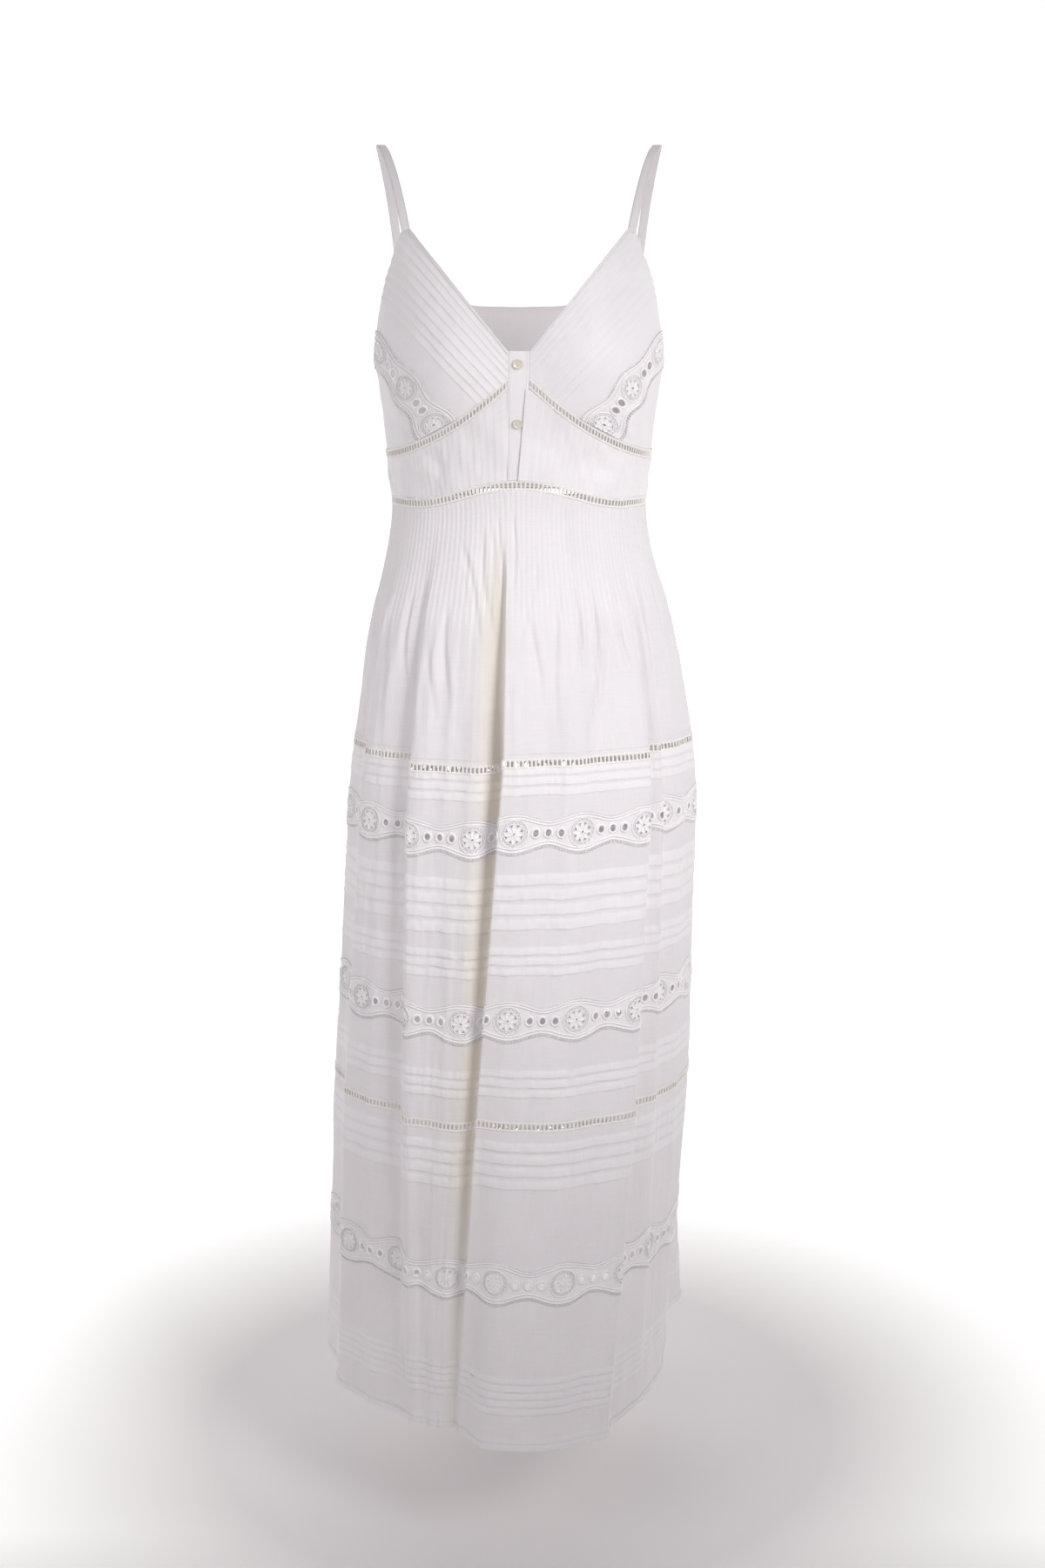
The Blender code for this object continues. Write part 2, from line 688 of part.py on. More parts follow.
def front_strip(name, side, top, bottom, tucks, color):
    """A front piece between two curved seams, from the placket to the side seam."""
    count = 2 * tucks if tucks else LADDER_COLUMNS
    raises = [0.0, PINTUCK_RAISE] * tucks if tucks else [0.0] * count
    raises.append(0.0)

    def row(down, move):
        def seam(x, _front):
            return mix(top(x), bottom(x), down)

        start = seam(0.0, True)
        inner_angle = angle_at(side * placket_edge(side, start) + CURVED_SEAM, start)
        points = []
        for number in range(count + 1):
            angle = side * mix(inner_angle, SIDE_SEAM, number / count)
            level = settled_level(seam, lambda at, angle=angle: ring_point(angle, at), start)
            point, normal = ring_skin(angle, level)
            points.append((number / count, point + normal * (move if move < 0 else move * raises[number])))
        return points

    shares = (0.0, 0.5, 1.0) if tucks else (0.0, 1.0)
    outer = [(share, row(share, 1.0)) for share in shares]
    inner = [(share, row(share, -CLOTH)) for share in shares]
    return wall(name, outer, inner, color)


def placket():
    """The button placket, from the neckline down to the waist ladder."""
    bottom = waist(0.0) + LADDER / 2 + CURVED_SEAM

    def row(share, move):
        level = mix(PLACKET_TOP, bottom, share)
        points = []
        for along in (0.0, 0.5, 1.0):
            x = mix(placket_edge(-1, level), placket_edge(1, level), along)
            point, normal = front_skin(x, level)
            points.append((along, point + normal * move))
        return points

    shares = [number / PLACKET_ROWS for number in range(PLACKET_ROWS + 1)]
    outer = [(share, row(share, BINDING_RAISE)) for share in shares]
    inner = [(share, row(share, BINDING_RAISE - CLOTH)) for share in shares]
    return wall("placket", outer, inner, WHITE)


def back_bodice():
    """The back, which wraps round both sides to the lace above the ladder."""
    back_bottom = WAIST_LEVEL + LADDER / 2 + CURVED_SEAM
    lower_in = (LACE_LOWER_IN, underbust(LACE_LOWER_IN) + CURVED_SEAM)

    def lace_edge(x):
        share = (x - lower_in[0]) / (LACE_LOWER_OUT[0] - lower_in[0])
        return mix(lower_in[1], LACE_LOWER_OUT[1] - SEAM, share) - SEAM

    def ladder_top(angle):
        return settled_level(lambda x, _front: underbust(x), lambda at: ring_point(angle, at), WAIST_LEVEL)

    half = []
    for step in range(SIDE_PANEL_STEPS + 1):
        x = mix(SIDE_PANEL_START, LACE_LOWER_OUT[0], step / SIDE_PANEL_STEPS)
        angle = angle_at(x, lace_edge(x))
        half.append((angle, lace_edge(x), ladder_top(angle) + CURVED_SEAM))
    for angle, level in BACK_TOP:
        half.append((angle, level, ladder_top(angle) + CURVED_SEAM if angle < SIDE_END else back_bottom))
    columns = half + [(360 - angle, top, bottom) for angle, top, bottom in half[-2::-1]]

    def row(share, move):
        points = []
        for number, (angle, top, bottom) in enumerate(columns):
            point, normal = ring_skin(angle, mix(top, bottom, share))
            points.append((number / (len(columns) - 1), point + normal * move))
        return points

    outer = [(share, row(share, 0.0)) for share in BACK_ROWS]
    inner = [(share, row(share, -CLOTH)) for share in BACK_ROWS]
    return wall("back_bodice", outer, inner, WHITE)


def strap(name, side):
    """A flat strap from the top of the cup over the shoulder to the back."""
    front_end = front_point((CUP_TOP_INNER + CUP_TOP_OUTER) / 2, CUP_TOP)
    back_end = ring_point(STRAP_BACK_ANGLE, STRAP_BACK_LEVEL)
    route = [front_end + Vector((0, CLOTH / 2, CURVED_SEAM))]
    route += [Vector(point) for point in STRAP_ROUTE]
    route.append(back_end + Vector((0, -CLOTH / 2, CURVED_SEAM)))
    stations = smooth_route(route, STRAP_STEPS)
    builder = bmesh.new()
    loops = []
    last = len(stations) - 1
    for number, station in enumerate(stations):
        along = stations[min(number + 1, last)] - stations[max(number - 1, 0)]
        face = Vector((0, -along.z, along.y)).normalized() * CLOTH / 2
        if number in (0, last):
            face = Vector((0, math.copysign(CLOTH / 2, face.y), 0))
        width = Vector((STRAP_WIDTH / 2, 0, 0))
        offsets = (width + face, face - width, -width - face, width - face)
        corners = [station + offset for offset in offsets]
        loops.append([builder.verts.new((side * corner.x, corner.y, corner.z)) for corner in corners])
    for before, after in zip(loops, loops[1:]):
        for corner in range(4):
            beside = (corner + 1) % 4
            builder.faces.new((before[corner], before[beside], after[beside], after[corner]))
    builder.faces.new(loops[0])
    builder.faces.new(loops[-1])
    return finish_object(name, builder, WHITE)


def button(name, level):
    """A round button with a dished face, on the placket."""
    point, _ = front_skin(BUTTON_X, level)
    above, below = level + BUTTON_SLOPE_STEP, level - BUTTON_SLOPE_STEP
    slope = front_point(BUTTON_X, above) - front_point(BUTTON_X, below)
    axis = Vector((0, -slope.z, slope.y)).normalized()
    seat = point + axis * (BINDING_RAISE + SEAM)
    profile = [
        (BUTTON_RADIUS - BUTTON_FOOT, 0.0),
        (BUTTON_RADIUS, BUTTON_BEVEL),
        (BUTTON_RADIUS, BUTTON_HEIGHT - BUTTON_BEVEL),
        (BUTTON_RADIUS - BUTTON_BEVEL, BUTTON_HEIGHT),
        (BUTTON_RADIUS - BUTTON_RIM, BUTTON_HEIGHT),
        (BUTTON_RADIUS - BUTTON_RIM - BUTTON_DISH, BUTTON_HEIGHT - BUTTON_DISH),
    ]
    turn = Vector((0, 0, 1)).rotation_difference(axis)
    builder = bmesh.new()
    loops = []
    for radius, height in profile:
        loop = []
        for number in range(BUTTON_SIDES):
            angle = 2 * math.pi * number / BUTTON_SIDES
            spot = Vector((radius * math.cos(angle), radius * math.sin(angle), height))
            loop.append(builder.verts.new(seat + turn @ spot))
        loops.append(loop)
    for first, last in zip(loops, loops[1:]):
        for number in range(BUTTON_SIDES):
            after = (number + 1) % BUTTON_SIDES
            builder.faces.new((first[number], first[after], last[after], last[number]))
    builder.faces.new(loops[0])
    builder.faces.new(loops[-1])
    return finish_object(name, builder, BUTTON_IVORY, roughness=0.35)


def build_dress():
    for old in list(bpy.data.objects):
        bpy.data.objects.remove(old, do_unlink=True)

    def ladder_bottom(x):
        return underbust(x) - LADDER

    def midriff_top(x):
        return underbust(x) - LADDER - CURVED_SEAM

    def midriff_bottom(x):
        return waist(x) + LADDER / 2 + CURVED_SEAM

    for side, word in ((-1, "left"), (1, "right")):
        strap(f"strap_{word}", side)
        cup(f"cup_{word}", side)
        cup_lace(f"cup_lace_{word}", side)
        front_strip(f"underbust_ladder_{word}", side, underbust, ladder_bottom, 0, LADDER_IVORY)
        front_strip(f"midriff_{word}", side, midriff_top, midriff_bottom, MIDRIFF_TUCKS, WHITE)
    placket()
    for name, level in BUTTON_LEVELS.items():
        button(name, level)
    back_bodice()
    waist_ladder()
    places = fold_places()
    skirt_yoke(places)
    for ring in CLOTH_RINGS:
        cloth_ring(ring, places)
    for band in LACE_BANDS:
        lace_band(band)


build_dress()
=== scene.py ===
"""The look of a long strap dress of white cotton voile, with tucks, ladder seams and lace bands.

Metres, +Z up, the front faces -Y. Left and right are the picture's. Thin shells of cloth stand for
the solids of the frame. Grids of points have rows that run down and columns that run round.
"""

import math
import random
from collections import namedtuple

import bpy
import numpy as np
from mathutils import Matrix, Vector


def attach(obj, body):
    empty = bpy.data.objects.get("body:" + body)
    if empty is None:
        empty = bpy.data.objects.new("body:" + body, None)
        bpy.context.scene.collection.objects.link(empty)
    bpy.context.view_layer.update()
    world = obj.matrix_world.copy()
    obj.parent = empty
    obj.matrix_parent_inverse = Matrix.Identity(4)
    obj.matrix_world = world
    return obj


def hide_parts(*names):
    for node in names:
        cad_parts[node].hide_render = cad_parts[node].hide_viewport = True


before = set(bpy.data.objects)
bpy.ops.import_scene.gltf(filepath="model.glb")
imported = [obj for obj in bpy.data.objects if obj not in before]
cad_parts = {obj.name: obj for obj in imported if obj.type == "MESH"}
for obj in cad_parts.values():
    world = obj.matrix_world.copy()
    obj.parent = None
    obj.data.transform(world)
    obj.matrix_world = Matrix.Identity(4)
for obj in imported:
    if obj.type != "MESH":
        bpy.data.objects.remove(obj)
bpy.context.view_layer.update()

# Form of the dress, top to bottom: level, half width, depth to the front and to the back,
# and the power of the section's curve (2 is an ellipse, more is squarer)
Section = namedtuple("Section", "level half_width front back power")
FORM = [
    Section(-0.070, 0.1380, 0.108, 0.100, 2.3),
    Section(-0.130, 0.1445, 0.120, 0.112, 2.3),
    Section(-0.200, 0.1480, 0.126, 0.113, 2.3),
    Section(-0.240, 0.1425, 0.122, 0.108, 2.3),
    Section(-0.285, 0.1368, 0.112, 0.101, 2.2),
    Section(-0.320, 0.1335, 0.106, 0.095, 2.1),
    Section(-0.352, 0.1300, 0.103, 0.092, 2.0),
    Section(-0.390, 0.1345, 0.107, 0.098, 2.0),
    Section(-0.426, 0.1436, 0.114, 0.108, 2.0),
    Section(-0.463, 0.1550, 0.124, 0.122, 2.0),
    Section(-0.500, 0.1640, 0.136, 0.135, 2.0),
    Section(-0.536, 0.1700, 0.147, 0.145, 2.0),
    Section(-0.573, 0.1760, 0.157, 0.152, 2.0),
    Section(-0.610, 0.1810, 0.165, 0.158, 2.0),
    Section(-0.648, 0.1850, 0.171, 0.163, 2.0),
    Section(-0.705, 0.1870, 0.178, 0.168, 2.0),
    Section(-0.846, 0.1930, 0.197, 0.184, 2.0),
    Section(-0.940, 0.1980, 0.206, 0.193, 2.0),
    Section(-1.060, 0.2010, 0.214, 0.202, 2.0),
    Section(-1.143, 0.2025, 0.220, 0.206, 2.0),
    Section(-1.222, 0.2040, 0.226, 0.209, 2.0),
    Section(-1.300, 0.2050, 0.233, 0.211, 2.0),
]

# Sideways sway of the hem, and how late the folds take on their shape at the hem
HEM_SWAY = -0.002
FOLD_BEND = 1.5

# Fullness of the cups over the general form
BUST_RAISE = 0.020
BUST_CENTRE = 0.074
BUST_LEVEL = -0.205
BUST_WIDTH = 0.050
BUST_HEIGHT = 0.058

# Fold lines of the skirt: angle in degrees from the front centre and how far out, in millimetres
FoldLine = namedtuple("FoldLine", "hip_angle hem_angle hip_out hem_out")
FOLD_LINES = [
    FoldLine(-80, -90, -5, 8),
    FoldLine(-66, -76, -9, -4),
    FoldLine(-60, -68, 1, 5),
    FoldLine(-52, -56, -2, -8),
    FoldLine(-41, -43, -14, -22),
    FoldLine(-36, -37, 3, -19),
    FoldLine(-25, -31, -5, -24),
    FoldLine(-14, -27.5, -6, -25),
    FoldLine(-6.0, -22.5, -21, -32),
    FoldLine(-5, -20, 2, -26),
    FoldLine(9, -8, -4, -1),
    FoldLine(18, 7, 1, 0),
    FoldLine(28, 19, -4, -3),
    FoldLine(45.5, 26.5, 4, -2),
    FoldLine(49, 33, -12, -22),
    FoldLine(53.5, 44, -1, -30),
    FoldLine(58, 52, -13, -33),
    FoldLine(68, 64, -3, -37),
    FoldLine(82, 82, 3, -42),
    FoldLine(96, 98, -3, -38),
    FoldLine(110, 112, 0, -24),
    FoldLine(124, 122, -9, 20),
    FoldLine(137, 130, 1, 38),
    FoldLine(151, 147, -10, 8),
    FoldLine(165, 163, 1, 4),
    FoldLine(178, 176, -9, -15),
    FoldLine(192, 189, 0, 4),
    FoldLine(208, 203, -11, -17),
    FoldLine(222, 217, 1, 6),
    FoldLine(238, 230, -9, -15),
    FoldLine(252, 242, 0, 7),
    FoldLine(266, 256, -11, -12),
]
TURN = len(FOLD_LINES)

# The deep fold left of the centre, where cream painted shade is laid, in fold lines and levels
VALLEY_PLACE = 7.75
VALLEY_WIDTH = 0.65
VALLEY_TOP = -0.355
VALLEY_PALER = -0.95

# Levels where the folds start, and of the hip and hem
FOLDS_START = -0.36
HIP_LEVEL = -0.597
HEM_LEVEL = -1.293

# How far the bands of the skirt are hitched up at the sides: place and lift in millimetres
LIFTS = [
    (0, -3), (4.2, -3), (5.0, -9), (8.2, -9), (9.0, 0), (13.2, 0),
    (13.8, 3), (15.2, 3), (16, 0), (29, 0), (32, -3),
]

# Levels where the lifts start and are whole, and where they start to fade and are gone
LIFT_FADE = (-0.36, -0.58, -1.10, -1.28)

# Creases let out of the pintucks, as (angle, level) at both ends, depth and width in millimetres
Crease = namedtuple("Crease", "top_angle top_level low_angle low_level depth width")
FRONT_CREASES = [
    Crease(-57, -0.470, -54, -0.570, 1.6, 3.5),
    Crease(-48, -0.435, -44, -0.540, 2.0, 3.5),
    Crease(-42, -0.425, -36, -0.590, 2.4, 4.0),
    Crease(-33, -0.480, -30, -0.575, 1.6, 3.5),
    Crease(-28, -0.445, -26, -0.540, 2.0, 3.2),
    Crease(-25, -0.385, -11, -0.490, 1.5, 3.2),
    Crease(-22, -0.395, -21, -0.450, 0.9, 2.6),
    Crease(-16, -0.375, -10, -0.480, 1.9, 3.4),
    Crease(-12.5, -0.365, -9.5, -0.470, 1.4, 2.4),
    Crease(-8, -0.358, -7, -0.455, 1.6, 2.2),
    Crease(-1.3, -0.352, -3.6, -0.445, 1.8, 1.6),
    Crease(7.4, -0.395, -1, -0.510, 1.5, 3.2),
    Crease(5, -0.455, 7, -0.560, 2.0, 3.0),
    Crease(15, -0.430, 12, -0.590, 1.8, 3.0),
    Crease(24, -0.432, 20, -0.520, 3.6, 2.2),
    Crease(31, -0.436, 22, -0.605, 4.0, 2.4),
    Crease(36, -0.450, 34, -0.540, 1.8, 2.6),
    Crease(41, -0.430, 41, -0.540, 3.2, 2.2),
    Crease(50, -0.440, 47, -0.590, 2.0, 3.5),
]

# The creases drawn for the sides and the back: angles, then the ranges of their sizes
CREASES_BEHIND = 24
BEHIND_START = 62
BEHIND_SPAN = 236
BEHIND_TOPS = (-0.450, -0.415)
BEHIND_LENGTHS = (0.06, 0.16)
BEHIND_DEPTHS = (1.5, 3.4)
BEHIND_WIDTHS = (2.6, 3.8)

# Uneven waves: size, cells across and down, seed, and lean
Waves = namedtuple("Waves", "size across down seed lean", defaults=(0.0,))
PLEAT_WAVES = [Waves(1.0, 3, 5, 3, 0.6), Waves(0.5, 7, 7, 5)]
FOLD_WAVES = [Waves(1.0, 2, 3.5, 7), Waves(0.40, 6, 13, 9), Waves(0.25, 5, 70, 15)]
BACK_WAVES = [Waves(0.0013, 0.2, 2.0, 51), Waves(0.0006, 0.5, 6, 53)]
RIPPLE = 0.0012
PLEATS_CALM = -0.520
WAVES_START = -0.500

# Seams of the bodice
SEAM = 0.0003
CURVED_SEAM = 0.0005
PLACKET_TOP = -0.197
PLACKET_HALF = 0.0100
PLACKET_WAIST_RIGHT = -0.0010

# Columns of the placket: share of the way across, and how far raised in millimetres
PLACKET_COLUMNS = [
    (0.0, 0.3), (0.03, 0.4), (0.10, 0.5), (0.30, 0.6), (0.5, 0.7),
    (0.70, 0.8), (0.90, 0.9), (0.97, 0.7), (1.0, 0.1),
]

# Ladders below the cups and round the waist, and the lip of the right front on the placket
UNDERBUST_CENTRE = -0.2225
UNDERBUST_SLOPE = -0.93
UNDERBUST_CURVE = 2.70
LADDER = 0.009
WAIST_LEVEL = -0.347
WAIST_ARCH = 0.021
WAIST_ARCH_HALF = 0.105
SIDE_SEAM = 90.3
LIP_ANGLE = 0.7
LIP_RAISE = 0.0016

# Outline of one cup and its lace, as distance from the centre and level
STRAP_WIDTH = 0.0092
CUP_TOP = -0.083
CUP_TOP_INNER = 0.104
CUP_TOP_OUTER = 0.1132
CUP_ARMHOLE = (0.131, -0.129)
LACE_UPPER_OUT = (0.1405, -0.178)
LACE_UPPER_IN = 0.060
LACE_LOWER_OUT = (0.1435, -0.207)
LACE_LOWER_IN = 0.097
CUP_BINDING = 0.04
CUP_TUCKS = 8
CUP_TUCKS_END = 0.72
UNDER_LACE = 0.22
SIDE_UNDER_LACE = 0.006

# Rows of a cup: share of the way from the neckline, or from a tuck's edge, how far out in
# metres, and whether the cloth is folded there
CupRow = namedtuple("CupRow", "share out folded")
CUP_BINDING_ROWS = [
    CupRow(0.0, 0.0002, 1.0),
    CupRow(0.004, 0.0007, 1.0),
    CupRow(0.034, 0.0007, 1.0),
    CupRow(0.039, 0.0002, 0.2),
]
CUP_TUCK_ROWS = [
    CupRow(-0.042, 0.0, 0.0),
    CupRow(-0.037, 0.0002, 0.6),
    CupRow(-0.016, 0.0004, 1.0),
    CupRow(-0.003, 0.00045, 1.0),
    CupRow(0.0, 0.0004, 1.0),
    CupRow(0.0005, 0.0001, 0.3),
    CupRow(0.007, 0.0, 0.0),
]

# Top edge of the back: angle from the front centre and level
BACK_TOP = [
    (90.6, -0.213),
    (97.0, -0.209),
    (104.0, -0.193),
    (113.0, -0.158),
    (122.5, -0.128),
    (127.2, -0.128),
    (138.0, -0.138),
    (152.0, -0.149),
    (166.0, -0.154),
    (180.0, -0.155),
]
SIDE_PANEL_START = 0.0995

# Fine upright tucks: share of the way to the next one, how far raised, and whether folded there
TuckStop = namedtuple("TuckStop", "share raised folded")
MIDRIFF_TUCKS = 30
MIDRIFF_TUCK_OUT = 0.0003
MIDRIFF_STOPS = [
    TuckStop(0.0, 0.0, 0.0),
    TuckStop(0.45, 0.25, 0.5),
    TuckStop(0.80, 0.9, 1.0),
    TuckStop(0.88, 0.1, 0.3),
]
PINTUCKS = 150
PINTUCK_OUT = 0.0005
PINTUCK_END = -0.445
PINTUCK_UNEVEN = 0.006
PINTUCK_FADE = 0.030
PINTUCK_STOPS = [
    TuckStop(0.0, 0.0, 0.0),
    TuckStop(0.42, 0.3, 0.6),
    TuckStop(0.78, 1.0, 1.0),
    TuckStop(0.86, 0.05, 0.2),
]

# Straps: route over one shoulder, as distance from the centre, depth and level
STRAP_ROUTE = [
    (0.1150, -0.0630, -0.0580),
    (0.1230, -0.0410, -0.0290),
    (0.1310, -0.0210, -0.0080),
    (0.1375, 0.0000, 0.0008),
    (0.1370, 0.0230, -0.0080),
    (0.1330, 0.0430, -0.0330),
    (0.1280, 0.0580, -0.0700),
]
STRAP_BACK_ANGLE = 124.85
STRAP_BACK_LEVEL = -0.128
STRAP_THICK = 0.0013
STRAP_SIDES = 16
STRAP_SEAM = 0.36
STRAP_STITCH = 0.0026

# Tiers of the skirt. A tuck group is the level of its first edge, its count and its pitch.
Tier = namedtuple("Tier", "name top bottom tuck_groups lace_above lace_below")
TIERS = [
    Tier("tier_1", -0.597, -0.6435, ((-0.603, 3, 0.0100),), None, "lace_1"),
    Tier("tier_2", -0.6775, -0.828, ((-0.711, 4, 0.0147), (-0.780, 3, 0.0100)), "lace_1", "lace_2"),
    Tier("tier_3", -0.864, -0.949, ((-0.903, 3, 0.0100),), "lace_2", None),
    Tier("tier_4", -0.958, -1.098, ((-0.979, 4, 0.0130),), None, "lace_3"),
    Tier("tier_5", -1.137, HEM_LEVEL, ((-1.222, 5, 0.0082),), "lace_3", None),
]
SKIRT_COLUMNS = 620
PLAIN_ROW = 0.0062
TUCK_OUT = 0.00045
TUCK_UNEVEN = 0.0005
TUCK_COVER = 0.68
HEM_BAND = 0.0075
PUCKER = 0.0004
LACE_REACH = 0.018
COLUMNS_LEVEL = -0.846
YOKE_ROWS = 56
HIP_LADDER_TOP = -0.588
LOWER_LADDER_TOP = -0.949

# Ladders: pitch of the rungs, width of the holes, and the rows across in millimetres
RUNG_PITCH = 0.0043
HOLE_SHARE = 0.60
LADDER_ROWS = (0.0, 0.5, 1.1, 1.9, 7.1, 7.9, 8.5, 9.0)
LADDER_OUT = (0.1, 0.5, 0.2, 0.0, 0.0, 0.2, 0.5, 0.1)
LADDER_THICK = 0.0008

# Lace: a medallion and three rings repeat round each band
LaceBand = namedtuple("LaceBand", "name top bottom shift")
LACE_BANDS = [
    LaceBand("lace_1", -0.6435, -0.6775, 0.000),
    LaceBand("lace_2", -0.828, -0.864, 0.008),
    LaceBand("lace_3", -1.098, -1.137, 0.018),
]
LACE_REPEAT = 0.070
LACE_RINGS = 3
SCALLOP_PROUD = 0.0015
SCALLOP_NARROW = 0.60
RING_HOLE = (0.0031, 0.0037)
MEDALLION_RADIUS = 0.0140
MEDALLION_MARGIN = 0.0015
MEDALLION_RIM = 0.0036
CUP_RINGS = 2
CUP_MEDALLION = 0.0118
CUP_LACE_START = 0.07
CUP_LACE_REPEAT = 0.4375
CUP_LACE_OUT = 0.0008
CUP_SCALLOP = (0.72, 1.02)
PETALS = 8
PICOT_PITCH = 0.0029
PICOT_LENGTH = 0.0034
PICOT_LENGTH_ABOVE = 0.0016
PICOT_HALF = 0.42
LACE_CELL = 0.0019
LACE_ROWS = 17
HOLE_SNAP = 0.0011
EDGE_MARGIN = 0.0004
NET_OPEN = 0.16
NET_THREADS = 0.34
NET_EDGE = 6.0

# Round cords of a medallion: share of its radius, and how far inside that, then the depth and
# number of their waves, and the points, thickness and sides of the cord
RoundCord = namedtuple("RoundCord", "share inset depth waves points thick sides")
MEDALLION_CORDS = [
    RoundCord(1, 0.0, 0.0, 0, 28, 0.0007, 5),
    RoundCord(1, 0.0021, 0.0010, 18, 72, 0.00045, 3),
    RoundCord(1, 0.0041, 0.0, 0, 28, 0.0007, 4),
    RoundCord(0, -0.0019, 0.0, 0, 10, 0.0008, 5),
]
HOLE_CORD = 0.0013
HOLE_CORD_OUT = 0.0008
PETAL_START = 0.0022
PETAL_INSET = 0.0070
PETAL_WIDTH = 0.0024
PETAL_POINTS = 14
PETAL_CORD = 0.0005

# Cords along both edges of a lace band, as inset and thickness
EDGE_CORDS = ((0.0005, 0.0010), (0.0034, 0.0009))
EDGE_STEP = 0.0022
PICOT_CORD = 0.0004

# Buttons: level on the placket and size
BUTTON_LEVELS = {"button_upper": -0.209, "button_lower": -0.2655}
BUTTON_X = -0.001
BUTTON_RADIUS = 0.0048
BUTTON_STEPS = 36
BUTTON_LIFT = 0.0013
BUTTON_HOLE = 0.0009
THREAD_RADIUS = 0.00028

# Half outline of a button, as share of its radius and height in metres
BUTTON_PROFILE = [
    (0.0, 0.0),
    (0.80, 0.0),
    (0.97, 0.0005),
    (1.0, 0.0010),
    (0.97, 0.0016),
    (0.90, 0.0019),
    (0.82, 0.0018),
    (0.70, 0.0013),
    (0.40, 0.0011),
    (0.0, 0.0011),
]

# Cloth's surface: noise cells a metre across and down, and detail, then its strengths
SLUB_WARP = (1100, 45, 3.0)
SLUB_WEFT = (40, 1000, 3.0)
CLOUDS = (16, 11, 2.0)
CRINKLES = (230, 150, 3.0)
CRINKLE_HEIGHT = 1.8
FOLD_DENSE = 0.72

# Studio: the sweep's floor, its front edge, foot and top of its wall, and half its width
FLOOR_LEVEL = -1.434
SWEEP_FRONT = -3.4
SWEEP_BEHIND = 2.6
SWEEP_TOP = 5.5
SWEEP_HALF = 6.0
SKY_STRENGTH = 0.35
FLOOR_GLOW = 0.72
Lamp = namedtuple("Lamp", "name spot aim size power spread")
LAMPS = [
    Lamp("key", (0.9, -1.25, 0.10), (0.05, -0.1, -0.54), 0.7, 2.3, 60),
    Lamp("fill", (-1.15, -1.1, -0.05), (-0.08, -0.1, -0.62), 0.9, 1.35, 70),
]
CAMERA_SPOT = (0.0035, -2.18, -0.165)
CAMERA_PITCH = 12.5
CAMERA_LENS = 48.4


def mix(first, last, share):
    return first + (last - first) * share


def clamp(value):
    return np.clip(value, 0.0, 1.0)


def ease(share):
    share = clamp(share)
    return share * share * (3 - 2 * share)


def below(start, over, level):
    """From 0 at the level where something starts to 1 where it is whole, a little further down."""
    return ease((start - level) / over)


def stack(*parts):
    return np.stack(np.broadcast_arrays(*parts), axis=-1).astype(float)


def unit(vectors):
    return vectors / np.maximum(np.linalg.norm(vectors, axis=-1, keepdims=True), 1e-12)


def walked_along(line):
    """Distance from the start of a line of points to each of them."""
    steps = np.linalg.norm(np.diff(line, axis=0), axis=1)
    return np.concatenate([[0.0], np.cumsum(steps)])


def cloth_noise(u, v, seed, period=4096):
    """Smooth noise from -1 to 1. It repeats after a whole number of cells along u."""
    cell_u, cell_v = np.floor(u), np.floor(v)
    share_u, share_v = ease(u - cell_u), ease(v - cell_v)

    def corner(i, j):
        value = np.sin(np.mod(i, period) * 127.1 + j * 311.7 + seed * 74.7) * 4375.85
        return 2 * (value - np.floor(value)) - 1

    near = mix(corner(cell_u, cell_v), corner(cell_u + 1, cell_v), share_u)
    far = mix(corner(cell_u, cell_v + 1), corner(cell_u + 1, cell_v + 1), share_u)
    return mix(near, far, share_v)


def crumpled(u, v, layers, turn=0):
    """Layers of waves added up. The length turn of u, where given, closes on itself."""
    total = 0.0
    for layer in layers:
        total = total + layer.size * cloth_noise(
            u * layer.across + v * layer.lean, v * layer.down, layer.seed, turn * layer.across or 4096)
    return total


def tucked(count, stops):
    """Shares along a run of tucks, how far each is raised, and where its cloth is folded."""
    shares, raised, folded = np.array(stops).T
    shares = (np.arange(count)[:, None] + shares).reshape(-1) / count
    return shares, np.tile(raised, count), np.tile(folded, count)


def form(level):
    """Half width, depths and power of the form at these levels, on smooth curves through the table."""
    rows = np.array(FORM)[::-1]
    levels = rows[:, 0]
    slopes = np.gradient(rows, levels, axis=0)
    level = np.clip(level, levels[0], levels[-1])
    index = np.clip(np.searchsorted(levels, level) - 1, 0, len(levels) - 2)
    span = levels[index + 1] - levels[index]
    share = (level - levels[index]) / span
    share, span = share[..., None], span[..., None]
    before, after = rows[index], rows[index + 1]
    bend = share * (1 - share) * (
        (1 - share) * (slopes[index] * span - (after - before))
        - share * (slopes[index + 1] * span - (after - before)))
    values = mix(before, after, share) + bend
    return values[..., 1], values[..., 2], values[..., 3], values[..., 4]


def bust(x, level):
    """How far the cups stand out of the form, which is flat under the placket."""
    across = np.exp(-((np.maximum(np.abs(x), PLACKET_HALF) - BUST_CENTRE) / BUST_WIDTH) ** 2)
    return BUST_RAISE * across * np.exp(-((level - BUST_LEVEL) / BUST_HEIGHT) ** 2)


def front(x, level):
    """Points of the bodice front, from places across and levels."""
    x, level = np.broadcast_arrays(np.asarray(x, float), np.asarray(level, float))
    half_width, depth, _, power = form(level)
    share = np.minimum(np.abs(x) / half_width, 1.0)
    return stack(x, -depth * (1 - share ** power) ** (1 / power) - bust(x, level), level)


